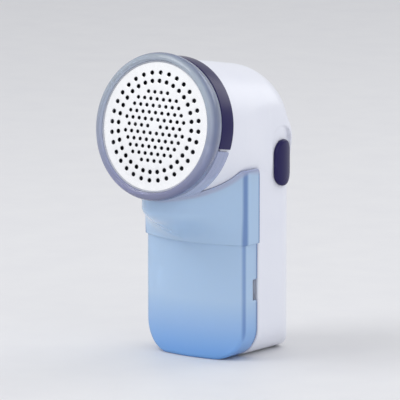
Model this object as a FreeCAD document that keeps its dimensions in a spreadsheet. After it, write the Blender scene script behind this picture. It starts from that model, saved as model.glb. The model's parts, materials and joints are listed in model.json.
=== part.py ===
"""Battery fabric shaver: a tilted round shaving head on an upright two-cell handle.

Frame: origin at the centre of the handle's foot, on the surface it stands on.
+Z is up, the shaving head faces -Y and the slide switch is on the +X side.
Millimetres and degrees. The head axis leans back by head_tilt from the horizontal,
and "forward" along it means out through the foil, with 0 on the foil's rim.
"""
import FreeCAD, Part
import math
import os
import re
import Sketcher

V = FreeCAD.Vector

SIZES = [
    # handle
    ("handle_half", 27.0, "half width of the handle"),
    ("handle_back", 22.7, "back face of the handle"),
    ("handle_corner", 15.0, "upright rear corner radius"),
    ("handle_top", 97.0, "top of the handle inside the head housing"),
    ("foot_corner", 14.0, "lower corner radius seen from the front"),
    ("split_y", -7.6, "plane between white body and lint container"),
    ("shell_wall", 2.0, "wall of the white shells"),
    ("panel_top", 68.2, "top edge of the front panel"),
    ("post_x", 21.2, "screw posts from the middle plane"),
    ("post_low", 18.0, "height of the lower screw posts"),
    ("post_high", 60.0, "height of the upper screw posts"),
    # head
    ("head_tilt", 10.0, "lean of the head axis"),
    ("head_y", -46.0, "rim of the foil on the head axis"),
    ("head_z", 104.3, "height of the foil's rim on the head axis"),
    ("ring_radius", 32.0, "largest radius of the head"),
    ("core_radius", 30.0, "radius of the white head housing"),
    ("collar_radius", 31.2, "outer radius of the collar band"),
    ("collar_front", -6.2, "front face of the collar band"),
    ("collar_back", -14.4, "rear face of the collar band"),
    ("housing_front", -14.6, "front edge of the head housing"),
    ("housing_end", -70.0, "rear end of the head housing"),
    ("dome_radius", 20.0, "rounding of the housing's rear end"),
    ("waist_front", -20.0, "where the housing's sides start to draw in"),
    ("waist_back", 2.0, "where the housing is as narrow as the handle"),
    ("fit_gap", 0.15, "clearance between parts that part"),
    ("sleeve_bore", 26.95, "bore of the head sleeve round chamber and bracket"),
    ("seat_radius", 26.85, "outer radius of the bracket and of the chamber's flange"),
    # shaving parts
    ("foil_radius", 27.6, "foil disc radius"),
    ("foil_thick", 0.3, "foil thickness"),
    ("foil_crown", 0.9, "height of the foil's dome"),
    ("foil_flat", 25.2, "radius where the dome starts"),
    ("frame_radius", 28.3, "outer radius of the foil frame"),
    ("chamber_radius", 25.85, "outer radius of the cutter chamber"),
    ("chamber_wall", 1.6, "wall of the cutter chamber"),
    ("chamber_floor", -15.0, "rear face of the chamber floor"),
    ("blade_radius", 23.2, "reach of the blades"),
    ("shaft_radius", 1.0, "motor shaft radius"),
    # motor
    ("motor_front", -17.4, "front face of the motor can"),
    ("motor_back", -38.0, "rear edge of the motor can"),
    ("motor_radius", 10.05, "radius of the motor can"),
    ("motor_flat", 7.55, "half distance between the can's flats"),
    # cells
    ("cell_radius", 7.1, "AA cell radius"),
    ("cell_length", 50.5, "AA cell length with its nub"),
    ("cell_x", 7.5, "cell axis from the middle plane"),
    ("cell_y", 9.5, "cell axis from the handle's centre"),
    ("cell_z", 7.6, "lower end of the cells"),
    ("tray_half", 15.2, "half width of the battery tray"),
    ("tray_top", 62.0, "top of the battery tray"),
    # container
    ("tub_half", 26.4, "half width of the lint container"),
    ("tub_cheek", -17.5, "front edge of the container's side"),
    ("tub_apex", -22.7, "foremost point of the container's front"),
    ("tub_wall", 1.6, "wall of the container"),
    ("step_z", 51.0, "step around the container"),
    ("step_out", 1.4, "how far the upper part stands proud"),
    ("nose_radius", 16.0, "rounding of the chin seen from above"),
    ("nose_y", -29.3, "centre of the chin's rounding"),
    ("nose_half", 12.7, "half width where the rounding meets the cheeks"),
    ("nose_z", 67.0, "height where the chin is fully forward"),
    ("tub_top", 84.0, "top edge of the container's sides"),
    # switch
    ("switch_z", 84.0, "switch centre height at the off end"),
    ("switch_turn", 6.0, "turn of the switch face to the rear"),
    ("switch_half", 6.2, "half width of the button"),
    ("switch_rise", 10.2, "half height of the button"),
    ("switch_proud", 1.8, "how far the button stands off the rounded corner"),
    ("switch_gap", 0.2, "gap between the button and the skin"),
    ("switch_travel", 5.0, "slide of the button from off to on"),
    # door
    ("door_half", 17.0, "half width of the battery door"),
    ("door_top", 66.0, "top edge of the battery door"),
]

doc = FreeCAD.newDocument("fabric_shaver")
sheet = doc.addObject("Spreadsheet::Sheet", "dims")
for row, (alias, number, meaning) in enumerate(SIZES, start=1):
    sheet.set(f"A{row}", meaning)
    sheet.set(f"B{row}", str(number))
    sheet.setAlias(f"B{row}", alias)
doc.recompute()

made = []


def full(text):
    """Point each size name in an expression at its cell in the sheet."""
    return re.sub(r"\b[a-z]+(?:_[a-z]+)+\b", r"dims.\g<0>", str(text))


def size(text):
    """Work an expression out as a number."""
    return float(sheet.evalExpression(full(text)))


def bind(thing, prop, text):
    """Drive a property from the sheet."""
    thing.setExpression(prop, full(text))


def finish(thing, label):
    """Name a finished sub-part and put it on the list to be written."""
    thing.Label = label
    made.append(thing)
    return thing


# ---------------------------------------------------------------- sketches

def sketch_on(body, name, role, base=("0", "0", "0"), axis=(0, 0, 1), angle="0"):
    """Sketch on one of the body's origin planes, shifted and turned in that plane's own frame."""
    sketch = body.newObject("Sketcher::SketchObject", name)
    plane = [feature for feature in body.Origin.OriginFeatures if feature.Role == role][0]
    sketch.AttachmentSupport = [(plane, "")]
    sketch.MapMode = "FlatFace"
    place = V(size(base[0]), size(base[1]), size(base[2]))
    sketch.AttachmentOffset = FreeCAD.Placement(place, FreeCAD.Rotation(V(*axis), size(angle)))
    for letter, text in zip("xyz", base):
        bind(sketch, f"AttachmentOffset.Base.{letter}", text)
    if angle != "0":
        bind(sketch, "AttachmentOffset.Rotation.Angle", angle)
    return sketch


def plan_sketch(body, name, height="0"):
    """Level sketch: x across, y front to back, pads upward."""
    return sketch_on(body, name, "XY_Plane", ("0", "0", height))


def front_sketch(body, name, depth="0"):
    """Upright sketch at y = depth: x across, y up, pads towards the front."""
    return sketch_on(body, name, "XZ_Plane", ("0", "0", f"-({depth})"))


def head_sketch(body, name):
    """Sketch through the head axis: x up from the axis, y forward along it."""
    return sketch_on(body, name, "YZ_Plane", ("head_y", "head_z", "0"), (0, 0, 1), "90 - head_tilt")


def face_sketch(body, name, forward):
    """Sketch square to the head axis: x across, y up, pads forward."""
    base = ("0", f"head_y - ({forward}) * cos(head_tilt)", f"head_z + ({forward}) * sin(head_tilt)")
    return sketch_on(body, name, "XY_Plane", base, (1, 0, 0), "90 - head_tilt")


def switch_sketch(body, name, out, lift="0"):
    """Sketch on the switch face: x to the rear, y up, pads outward from the handle."""
    reach = f"(handle_corner + ({out}))"
    base = (f"handle_back - handle_corner + {reach} * sin(switch_turn)", f"switch_z + {lift}",
            f"handle_half - handle_corner + {reach} * cos(switch_turn)")
    return sketch_on(body, name, "YZ_Plane", base, (0, 1, 0), "switch_turn")


def pin_point(sketch, line, end, x, y, tag):
    """Fix one point of the sketch at two expressions."""
    for kind, text, axis in (("DistanceX", x, -2), ("DistanceY", y, -1)):
        number = size(text)
        if abs(number) < 1e-9:
            sketch.addConstraint(Sketcher.Constraint("PointOnObject", line, end, axis))
            continue
        index = sketch.addConstraint(Sketcher.Constraint(kind, line, end, number))
        word = f"{kind.lower()}_{tag}"
        sketch.renameConstraint(index, word)
        bind(sketch, f"Constraints.{word}", text)


def outline(sketch, stops):
    """Closed loop. A stop is (x, y), or (x, y, radius) when an arc arrives there.

    A positive radius turns left (anticlockwise) on the way, a negative one turns right.
    """
    points = [V(size(stop[0]), size(stop[1]), 0) for stop in stops]
    first = sketch.GeometryCount
    heads = []
    for index, stop in enumerate(stops):
        before = points[index - 1]
        after = points[index]
        if len(stop) == 2:
            line = sketch.addGeometry(Part.LineSegment(before, after))
            heads.append((line, 1, 2))
            continue
        radius = size(stop[2])
        across = after - before
        reach = math.sqrt(max(radius ** 2 - (across.Length / 2) ** 2, 0.0))
        left = V(-across.y, across.x, 0).normalize()
        centre = (before + after) * 0.5 + left * math.copysign(reach, radius)
        start, end = (before, after) if radius > 0 else (after, before)
        low = math.atan2(start.y - centre.y, start.x - centre.x)
        high = math.atan2(end.y - centre.y, end.x - centre.x)
        circle = Part.Circle(centre, V(0, 0, 1), abs(radius))
        line = sketch.addGeometry(Part.ArcOfCircle(circle, low, high))
        heads.append((line, 1, 2) if radius > 0 else (line, 2, 1))
    for index, (line, tail, head) in enumerate(heads):
        following = heads[(index + 1) % len(heads)]
        sketch.addConstraint(Sketcher.Constraint("Coincident", line, head, following[0], following[1]))
        pin_point(sketch, line, head, stops[index][0], stops[index][1], f"stop_{first + index}")
        if len(stops[index]) == 3:
            row = sketch.addConstraint(Sketcher.Constraint("Radius", line, abs(size(stops[index][2]))))
            word = f"bend_{first + index}"
            sketch.renameConstraint(row, word)
            bind(sketch, f"Constraints.{word}", f"abs({stops[index][2]})")


def disc(sketch, x, y, radius):
    """Circle at two expressions."""
    line = sketch.addGeometry(Part.Circle(V(size(x), size(y), 0), V(0, 0, 1), size(radius)))
    pin_point(sketch, line, 3, x, y, f"disc_{line}")
    row = sketch.addConstraint(Sketcher.Constraint("Radius", line, size(radius)))
    sketch.renameConstraint(row, f"bend_{line}")
    bind(sketch, f"Constraints.bend_{line}", radius)


def box_path(low_x, low_y, high_x, high_y):
    """Four stops of a rectangle, anticlockwise."""
    return [(high_x, low_y), (high_x, high_y), (low_x, high_y), (low_x, low_y)]


# ---------------------------------------------------------------- features

def new_body(name):
    return doc.addObject("PartDesign::Body", name)


def pad(body, sketch, length, reverse=False, middle=False):
    feature = body.newObject("PartDesign::Pad", f"{body.Name}_pad")
    feature.Profile = sketch
    bind(feature, "Length", length)
    feature.Reversed = reverse
    if middle:
        feature.SideType = "Symmetric"
    return feature


def pocket(body, sketch, length=None, reverse=False, middle=False):
    """Cut against the sketch's pad direction; with no length, through everything."""
    feature = body.newObject("PartDesign::Pocket", f"{body.Name}_pocket")
    feature.Profile = sketch
    feature.Reversed = reverse
    if length is None:
        feature.Type = "ThroughAll"
    else:
        bind(feature, "Length", length)
    if middle:
        feature.SideType = "Symmetric"
    return feature


def turn(body, sketch, angle=None, kind="PartDesign::Revolution"):
    """Turn a sketch about its own upright axis, all round or evenly to both sides."""
    feature = body.newObject(kind, f"{body.Name}_turn")
    feature.Profile = sketch
    feature.ReferenceAxis = (sketch, ["V_Axis"])
    if angle is None:
        feature.Angle = 360
    else:
        feature.Midplane = True
        bind(feature, "Angle", angle)
    return feature


def ring_copies(body, feature, sketch, count):
    """Repeat a feature evenly round its sketch's own normal."""
    pattern = body.newObject("PartDesign::PolarPattern", f"{body.Name}_copies")
    pattern.Originals = [feature]
    pattern.Axis = (sketch, ["N_Axis"])
    pattern.Angle = 360
    pattern.Occurrences = count
    body.Tip = pattern
    return pattern


def turned(name, stops, angle=None):
    """Body turned about the head axis from (radius, forward) stops."""
    body = new_body(name)
    sketch = head_sketch(body, f"{name}_profile")
    outline(sketch, stops)
    turn(body, sketch, angle)
    return body


def tube(name, inner, outer, back, front, angle=None):
    """Ring or sector about the head axis; the sector is centred on top of the head."""
    return turned(name, box_path(inner, back, outer, front), angle)


def rod(name, radius, back, front):
    """Solid disc or rod on the head axis."""
    return turned(name, box_path("0", back, radius, front))


def cut(name, base, *tools):
    """Take tools out of a base."""
    for count, tool in enumerate(tools):
        result = doc.addObject("Part::Cut", f"{name}_cut_{count}")
        result.Base = base
        result.Tool = tool
        base = result
    return base


def fuse(name, *shapes):
    result = doc.addObject("Part::MultiFuse", f"{name}_fuse")
    result.Shapes = list(shapes)
    result.Refine = True
    return result


def common(name, *shapes):
    result = doc.addObject("Part::MultiCommon", f"{name}_common")
    result.Shapes = list(shapes)
    return result


def box(name, low_x, low_y, low_z, high_x, high_y, high_z):
    """Upright block between two corners."""
    block = doc.addObject("Part::Box", name)
    spans = (("Length", low_x, high_x), ("Width", low_y, high_y), ("Height", low_z, high_z))
    for prop, low, high in spans:
        bind(block, prop, f"({high}) - ({low})")
    for letter, low in zip("xyz", (low_x, low_y, low_z)):
        bind(block, f"Placement.Base.{letter}", low)
    return block


def upright(name, x, y, z, radius, height):
    """Upright cylinder."""
    post = doc.addObject("Part::Cylinder", name)
    bind(post, "Radius", radius)
    bind(post, "Height", height)
    for letter, text in zip("xyz", (x, y, z)):
        bind(post, f"Placement.Base.{letter}", text)
    return post


def rearward(name, x, y, z, radius, length):
    """Level cylinder that starts at y and runs to the rear."""
    post = upright(name, x, y, z, radius, length)
    post.Placement.Rotation = FreeCAD.Rotation(V(1, 0, 0), -90)
    return post


# ---------------------------------------------------------------- white body

def handle_block(name, inset, front, top):
    """Handle outline shrunk by inset, from the plane y = front to the back."""
    body = new_body(name)
    inset = f"({inset})"
    half = f"handle_half - {inset}"
    corner = f"foot_corner - {inset}"
    face = front_sketch(body, f"{name}_face", f"handle_back - {inset}")
    outline(face, [
        ("handle_half - foot_corner", inset),
        (half, "foot_corner", corner),
        (half, top),
        (f"-({half})", top),
        (f"-({half})", "foot_corner"),
        ("foot_corner - handle_half", inset, corner),
    ])
    pad(body, face, f"handle_back - {inset} - ({front})")
    plan = plan_sketch(body, f"{name}_plan")
    turn_x = "handle_half - handle_corner"
    turn_y = "handle_back - handle_corner"
    bend = f"handle_corner - {inset}"
    for side in (1, -1):
        rim = f"{side} * ({half})"
        edge = f"{side} * ({half} + 6)"
        outline(plan, [
            (rim, turn_y),
            (f"{side} * ({turn_x})", f"handle_back - {inset}", f"{side} * ({bend})"),
            (f"{side} * ({turn_x})", "handle_back + 6"),
            (edge, "handle_back + 6"),
            (edge, turn_y),
        ])
    pocket(body, plan, reverse=True)
    return body


def head_block(name, inset, front):
    """Head housing about the tilted axis, shrunk by inset: domed behind, its sides drawn in to the handle."""
    flat = "core_radius - dome_radius"
    wide = f"core_radius - {inset}"
    body = turned(name, [
        ("0", front),
        ("0", f"housing_end + {inset}"),
        (flat, f"housing_end + {inset}"),
        (wide, "housing_end + dome_radius", f"dome_radius - {inset}"),
        (wide, front),
    ])
    waist = plan_sketch(body, f"{name}_waist")
    for side in (1, -1):
        outline(waist, [
            (f"{side} * ({wide} + 9)", "waist_front"),
            (f"{side} * ({wide} + 9)", "handle_back + 6"),
            (f"{side} * (handle_half - {inset})", "handle_back + 6"),
            (f"{side} * (handle_half - {inset})", "waist_back"),
            (f"{side} * ({wide} + 0.2)", "waist_front"),
        ])
    pocket(body, waist, reverse=True)
    return body


def switch_slot(name):
    """Opening in the handle wall for the button's stem, long enough for its travel."""
    body = new_body(name)
    sketch = switch_sketch(body, f"{name}_path", "-6")
    outline(sketch, box_path("-2.4", "-5.2", "2.4", "4.4 + switch_travel"))
    pad(body, sketch, "12")
    return body


def post_places():
    """The four screw places behind the front panel, as (x, height)."""
    return [(f"{side} * post_x", level) for side in (-1, 1) for level in ("post_low", "post_high")]


def screw_posts():
    """Posts inside the shell that take the front panel's screws."""
    posts = []
    for count, (x, level) in enumerate(post_places()):
        post = rearward(f"post_{count}", x, "split_y + shell_wall + 0.1", level, "2.5", "22.5")
        bore = rearward(f"post_bore_{count}", x, "split_y", level, "0.95", "15")
        posts.append(cut(f"bored_post_{count}", post, bore))
    return posts


def switch_backing(outer):
    """Wall behind the button where the hollow housing would leave none."""
    field = common("shell_backing_field", outer, switch_track("shell_backing_path", "2.7"))
    return cut("shell_backing", field,
               handle_block("shell_backing_core", "shell_wall", "split_y", "switch_z + 20"))


def rear_shell():
    """White moulded shell: sides and back of the handle with the whole head housing."""
    outer = fuse("shell_outer", handle_block("handle_outer", "0", "split_y", "handle_top"),
                 head_block("housing_outer", "0", "housing_front"))
    inner = fuse("shell_inner", handle_block("handle_inner", "shell_wall", "split_y", "handle_top - 2"),
                 head_block("housing_inner", "shell_wall", "housing_front + 2"))
    front_wall = box("shell_apron", "1 - handle_half", "split_y", "panel_top + 0.3", "handle_half - 1",
                     "split_y + shell_wall", "78")
    apron = cut("shell_apron", front_wall, head_block("apron_trim", "shell_wall", "housing_front"))
    mouth = box("shell_door_mouth", "-door_half - fit_gap", "handle_back - 8", "-1",
                "door_half + fit_gap", "handle_back + 2", "door_top + fit_gap")
    gate = box("shell_lip_gate", "-door_half - 1.7", "handle_back - 8", "-1",
               "door_half + 1.7", "handle_back - shell_wall", "4.1")
    walls = fuse("shell_walls", cut("shell_hollow", outer, inner, mouth, gate), switch_backing(outer))
    track = cut("shell_track", switch_track("shell_track_path", "0.7"),
                handle_block("shell_track_core", "0", "split_y", "switch_z + 20"))
    hollow = cut("shell_open", walls, track, switch_slot("shell_switch_slot"))
    return finish(fuse("rear_shell", hollow, apron, *screw_posts(), *switch_ledges()), "rear_shell")


def front_panel():
    """White plate that closes the front of the handle behind the lint container."""
    body = new_body("front_panel")
    half = "handle_half - shell_wall - fit_gap"
    corner = "foot_corner - shell_wall - fit_gap"
    low = "shell_wall + fit_gap"
    face = front_sketch(body, "front_panel_face", "split_y + shell_wall")
    outline(face, [
        ("handle_half - foot_corner", low),
        (half, "foot_corner", corner),
        (half, "panel_top"),
        (f"-({half})", "panel_top"),
        (f"-({half})", "foot_corner"),
        ("foot_corner - handle_half", low, corner),
    ])
    pad(body, face, "shell_wall")
    recess = front_sketch(body, "front_panel_recess", "split_y")
    outline(recess, box_path("-12.5", "4.5", "12.5", "28.5"))
    pocket(body, recess, "0.6")
    holes = front_sketch(body, "front_panel_holes", "split_y")
    sinks = front_sketch(body, "front_panel_sinks", "split_y")
    for x, level in post_places():
        disc(holes, x, level, "1.1")
        disc(sinks, x, level, "2.4")
    pocket(body, holes, "6")
    pocket(body, sinks, "1.2")
    return finish(body, "front_panel")


def housing_screws():
    """Four self-tapping screws through the front panel into the shell's posts."""
    body = new_body("housing_screws")
    sketch = front_sketch(body, "housing_screws_heads", "split_y + 1.2")
    shank = front_sketch(body, "housing_screws_shanks", "split_y + 1.2")
    for x, level in post_places():
        disc(sketch, x, level, "2.2")
        disc(shank, x, level, "0.9")
    body.AllowCompound = True
    pad(body, sketch, "1.1")
    pad(body, shank, "11", reverse=True)
    return finish(body, "housing_screws")


def head_sleeve():
    """White tube that plugs into the housing and carries collar, bracket and chamber."""
    body = turned("head_sleeve", [
        ("sleeve_bore", "-8.9"),
        ("sleeve_bore", "-16.35"),
        ("25", "-16.35"),
        ("25", "-26"),
        ("core_radius - shell_wall - 0.1", "-26"),
        ("core_radius - shell_wall - 0.1", "housing_front"),
        ("core_radius", "housing_front"),
        ("core_radius", "-8.9"),
    ])
    window = face_sketch(body, "head_sleeve_window", "-14.2")
    outline(window, box_path("-11", "-34", "11", "-18"))
    pocket(body, window, "4.8", reverse=True)
    return finish(body, "head_sleeve")


def head_collar():
    """Navy band over the top of the head, between guard and housing."""
    return finish(tube("head_collar", "core_radius + 0.05", "collar_radius", "collar_back", "collar_front",
                       "204"), "head_collar")


def door_sheet(name, outer, inner, half, low, back):
    """Strip of the rear wall between two insets, within half to each side and from low upward."""
    sheet = cut(f"{name}_sheet", handle_block(f"{name}_outer", outer, "split_y", "door_top"),
                handle_block(f"{name}_inner", inner, "split_y - 2", "door_top + 2"))
    field = box(f"{name}_field", f"-({half})", "handle_back - 7.8", low, half, back, "door_top")
    return common(name, sheet, field)


def battery_door():
    """Sliding rear cover: a panel in the shell's outline with a retaining lip inside."""
    panel = door_sheet("door_panel", "0", "shell_wall", "door_half", "0", "handle_back + 1")
    lip = door_sheet("door_lip", "shell_wall + fit_gap", "shell_wall + 1.4", "door_half + 1.4", "5.6",
                     "handle_back")
    web = door_sheet("door_web", "shell_wall - 0.5", "shell_wall + 1", "door_half - 1", "5.6",
                     "handle_back")
    return finish(fuse("battery_door", panel, lip, web), "battery_door")


# ---------------------------------------------------------------- lint container

def tub_solid(name, inset, floor, back):
    """Lower part of the container: front outline with a bulging front face."""
    body = new_body(name)
    half = f"tub_half - {inset}"
    corner = f"foot_corner - {inset}"
    face = front_sketch(body, f"{name}_face", back)
    outline(face, [
        ("tub_half - foot_corner", floor),
        (half, f"foot_corner + {floor} - {inset}", corner),
        (half, "step_z + 4"),
        (f"-({half})", "step_z + 4"),
        (f"-({half})", f"foot_corner + {floor} - {inset}"),
        ("foot_corner - tub_half", floor, corner),
    ])
    pad(body, face, f"{back} + 40")
    plan = plan_sketch(body, f"{name}_plan")
    rise = "(tub_cheek - tub_apex)"
    bow = f"((tub_half * tub_half + {rise} * {rise}) / (2 * {rise}))"
    outline(plan, [
        (f"{half} + 8", "-50"),
        (f"{half} + 8", f"tub_cheek + {inset}"),
        (half, f"tub_cheek + {inset}"),
        (f"-({half})", f"tub_cheek + {inset}", f"-({bow} - {inset})"),
        (f"-({half}) - 8", f"tub_cheek + {inset}"),
        (f"-({half}) - 8", "-50"),
    ])
    pocket(body, plan, reverse=True)
    return body


def chin_section(body, name, level, inset, back, upper):
    """Level section of the upper part: bowed front at the step, narrow nose under the head."""
    sketch = plan_sketch(body, name, level)
    wide = "(tub_half + step_out)"
    half = f"({wide} - {inset})"
    rise = "(tub_cheek - tub_apex + step_out)"
    bow = f"(({wide} * {wide} + {rise} * {rise}) / (2 * {rise}))"
    if upper:
        bend = f"(nose_radius - {inset})"
        nose = f"(nose_half * {bend} / nose_radius)"
        nose_y = f"nose_y - sqrt({bend} * {bend} - {nose} * {nose})"
        side_y = f"tub_cheek + {inset}"
    else:
        bend = f"({bow} - {inset})"
        centre = f"(tub_apex - step_out + {bow})"
        nose = "nose_half"
        nose_y = f"{centre} - sqrt({bend} * {bend} - {nose} * {nose})"
        side_y = f"{centre} - sqrt({bend} * {bend} - {half} * {half})"
    cheek = () if upper else (bend,)
    outline(sketch, [
        (half, back),
        (f"-{half}", back),
        (f"-{half}", side_y),
        (f"-{nose}", nose_y, *cheek),
        (nose, nose_y, bend),
        (half, side_y, *cheek),
    ])
    return sketch


def chin_solid(name, inset, low, back):
    """Upper part of the container: swells forward from the step to the head."""
    body = new_body(name)
    lower = chin_section(body, f"{name}_lower", low, inset, back, False)
    upper = chin_section(body, f"{name}_upper", "nose_z", inset, back, True)
    loft = body.newObject("PartDesign::AdditiveLoft", f"{name}_loft")
    loft.Profile = lower
    loft.Sections = [upper]
    loft.Ruled = True
    rim = chin_section(body, f"{name}_rim", "nose_z", inset, back, True)
    pad(body, rim, "tub_top - nose_z")
    return body


def side_outline(name):
    """Side view that the container stays inside: square below, rounded at the top rear corner."""
    body = new_body(name)
    sketch = sketch_on(body, f"{name}_path", "YZ_Plane")
    rear = "split_y - fit_gap"
    outline(sketch, [
        (rear, "-1"),
        (rear, "tub_top - 2.6"),
        (f"{rear} - 2.6", "tub_top", "2.6"),
        ("-28.5", "tub_top"),
        ("-28.5", "100"),
        ("-60", "100"),
        ("-60", "-1"),
    ])
    pad(body, sketch, "90", middle=True)
    return body


def container_shell():
    """Outer form of tub and chin, and the shell left when it is hollowed."""
    back = "split_y - fit_gap"
    outer = fuse("container_outer", tub_solid("tub_outer", "0", "0", back),
                 chin_solid("chin_outer", "0", "step_z", back))
    roof = box("container_roof", "-40", "-60", "tub_top - tub_wall", "40", "20", "tub_top + 5")
    hollow = cut("chin_hollow", chin_solid("chin_inner", "tub_wall", "step_z + 1", "split_y + 4"), roof)
    inner = fuse("container_inner", tub_solid("tub_inner", "tub_wall", "tub_wall", "split_y + 4"), hollow)
    return outer, cut("container_shell", outer, inner)


def discharge_window(name):
    """Opening in the saddle where the lint falls out of the head."""
    body = new_body(name)
    path = face_sketch(body, f"{name}_path", "-13.6")
    outline(path, box_path("-7.5", "-34", "7.5", "-20"))
    pad(body, path, "3.1")
    return body


def lint_container():
    """Clear tub that hooks over the handle's front and curls up round the head."""
    outer, shell = container_shell()
    tube_wall = tube("saddle_tube", "core_radius", "core_radius + 2.4", "-46", "collar_front")
    saddle = common("container_saddle", tube_wall, outer)
    band_path = box_path("-collar_radius", "collar_back", "0.3 - core_radius", "collar_front")
    band = turned("container_band", band_path, "152")
    joined = fuse("container_joined", shell, saddle, band)
    head_bore = rod("container_bore", "core_radius + 0.2", "-60", "12")
    guard_bore = rod("container_guard_bore", "ring_radius + 0.6", "collar_front", "12")
    notches = [box(f"container_notch_{side + 1}", f"{side} * 27 - 3", "split_y - 3.2", "26",
                   f"{side} * 27 + 3", "split_y + 2", "35") for side in (-1, 1)]
    window = discharge_window("container_window")
    trimmed = cut("container", joined, head_bore, guard_bore, window, *notches)
    return finish(common("lint_container", trimmed, side_outline("container_side")), "lint_container")


# ---------------------------------------------------------------- shaving head

def guard_ring():
    """Clear spacer ring that snaps over the foil frame and flares to the largest radius."""
    return finish(turned("guard_ring", [
        ("frame_radius + fit_gap", "0.3"),
        ("frame_radius + fit_gap", "-8.75"),
        ("core_radius - fit_gap", "-8.75"),
        ("core_radius - fit_gap", "collar_front + 0.1"),
        ("collar_radius - 0.2", "collar_front + 0.1"),
        ("ring_radius", "-2"),
        ("29.9", "2", "3.6"),
        ("28.6", "1.6"),
    ]), "guard_ring")


def foil_frame():
    """Bayonet ring under the foil, with a groove for the chamber's three lugs."""
    body = turned("foil_frame", [
        ("24.7", "-foil_thick"),
        ("24.7", "-1.7"),
        ("26", "-1.7"),
        ("26", "-4.4"),
        ("27", "-4.4"),
        ("27", "-7"),
        ("26", "-7"),
        ("26", "-8.6"),
        ("frame_radius", "-8.6"),
        ("frame_radius", "0.15"),
        ("foil_radius + 0.1", "0.15"),
        ("foil_radius + 0.1", "-foil_thick"),
    ])
    gate = face_sketch(body, "foil_frame_gate", "-8.6")
    outline(gate, box_path("-3.9", "24", "3.9", "27"))
    slot = pocket(body, gate, "2", reverse=True)
    ring_copies(body, slot, gate, 3)
    return finish(body, "foil_frame")


def foil_profile():
    """Domed disc: a flat rim, then a shallow ball cap."""
    cap = "((foil_flat * foil_flat + foil_crown * foil_crown) / (2 * foil_crown))"
    return [
        ("0", "foil_crown", cap),
        ("0", "foil_crown - foil_thick"),
        ("foil_flat", "-foil_thick", f"-{cap}"),
        ("foil_radius", "-foil_thick"),
        ("foil_radius", "0"),
        ("foil_flat", "0"),
    ]


def foil():
    """Perforated steel foil: two outer rings of holes round a hexagonal field."""
    body = turned("foil", foil_profile())
    for name, radius, hole in (("rim", "23.2", "1.0"), ("second", "19.6", "1.0")):
        sketch = face_sketch(body, f"foil_{name}", "-2")
        disc(sketch, "0", radius, hole)
        ring_copies(body, pocket(body, sketch, "5", reverse=True), sketch, 32)
    pitch = 3.4
    sketch = face_sketch(body, "foil_field", "-2")
    for row in range(1, 6):
        for step in range(row):
            x = pitch * (row - step * 0.5)
            y = pitch * step * math.sqrt(0.75)
            if math.hypot(x, y) < 16.8:
                disc(sketch, f"{x:.4f}", f"{y:.4f}", "0.85")
    ring_copies(body, pocket(body, sketch, "5", reverse=True), sketch, 6)
    return finish(body, "foil")


def turned_point(x, y, degrees):
    """Sketch stop turned about the head axis."""
    point = FreeCAD.Rotation(V(0, 0, 1), degrees).multVec(V(x, y, 0))
    return f"{point.x:.4f}", f"{point.y:.4f}"


def cutter_chamber():
    """Round cup behind the foil with a discharge opening at the bottom and three bayonet lugs."""
    inner = "chamber_radius - chamber_wall"
    body = turned("cutter_chamber", [
        ("2.6", "chamber_floor"),
        ("seat_radius", "chamber_floor"),
        ("seat_radius", "-13"),
        ("chamber_radius", "-13"),
        ("chamber_radius", "-1.9"),
        (inner, "-1.9"),
        (inner, "chamber_floor + chamber_wall"),
        ("2.6", "chamber_floor + chamber_wall"),
    ])
    window = face_sketch(body, "cutter_chamber_window", "-13.4")
    outline(window, box_path("-10", "-30", "10", "-15"))
    pocket(body, window, "6.4", reverse=True)
    lug = face_sketch(body, "cutter_chamber_lug", "-6.7")
    corners = ((3.4, 25.3), (3.4, 26.5), (-3.4, 26.5), (-3.4, 25.3))
    outline(lug, [turned_point(x, y, 20.0) for x, y in corners])
    ring_copies(body, pad(body, lug, "2"), lug, 3)
    holes = face_sketch(body, "cutter_chamber_holes", "-16")
    for side in (-1, 1):
        disc(holes, f"{side} * 20", "0", "1.2")
    pocket(body, holes, "5", reverse=True)
    return finish(body, "cutter_chamber")


def cutter_hub():
    """Plastic rotor: boss with three arms that carry the blades."""
    body = turned("cutter_hub", [
        ("0", "-1.2"),
        ("0", "-3"),
        ("2.4", "-3"),
        ("2.4", "-12.6"),
        ("4.6", "-12.6"),
        ("5.2", "-1.2"),
    ])
    arm = face_sketch(body, "cutter_hub_arm", "-5.6")
    outline(arm, box_path("-1.9", "4.2", "1.9", "22.4"))
    ring_copies(body, pad(body, arm, "2", reverse=True), arm, 3)
    return finish(body, "cutter_hub")


def cutter_blades():
    """Three thin steel blades standing on the hub's arms."""
    body = new_body("cutter_blades")
    body.AllowCompound = True
    sketch = face_sketch(body, "cutter_blades_path", "-5.6")
    outline(sketch, box_path("-0.25", "5.4", "0.25", "blade_radius"))
    ring_copies(body, pad(body, sketch, "4.6"), sketch, 3)
    return finish(body, "cutter_blades")


def cutter_spring():
    """Coil that pushes the hub out to the foil."""
    body = new_body("cutter_spring")
    sketch = head_sketch(body, "cutter_spring_wire")
    disc(sketch, "2.0", "-12.3", "0.18")
    coil = body.newObject("PartDesign::AdditiveHelix", "cutter_spring_coil")
    coil.Profile = sketch
    coil.ReferenceAxis = (sketch, ["V_Axis"])
    coil.Mode = "pitch-turns-angle"
    coil.Pitch = 1.3
    coil.Turns = 6
    return finish(body, "cutter_spring")


def drive_coupler():
    """Sleeve pressed on the motor shaft that drives the hub."""
    return finish(tube("drive_coupler", "shaft_radius", "1.7", "-14.6", "-3.6"), "drive_coupler")


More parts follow.
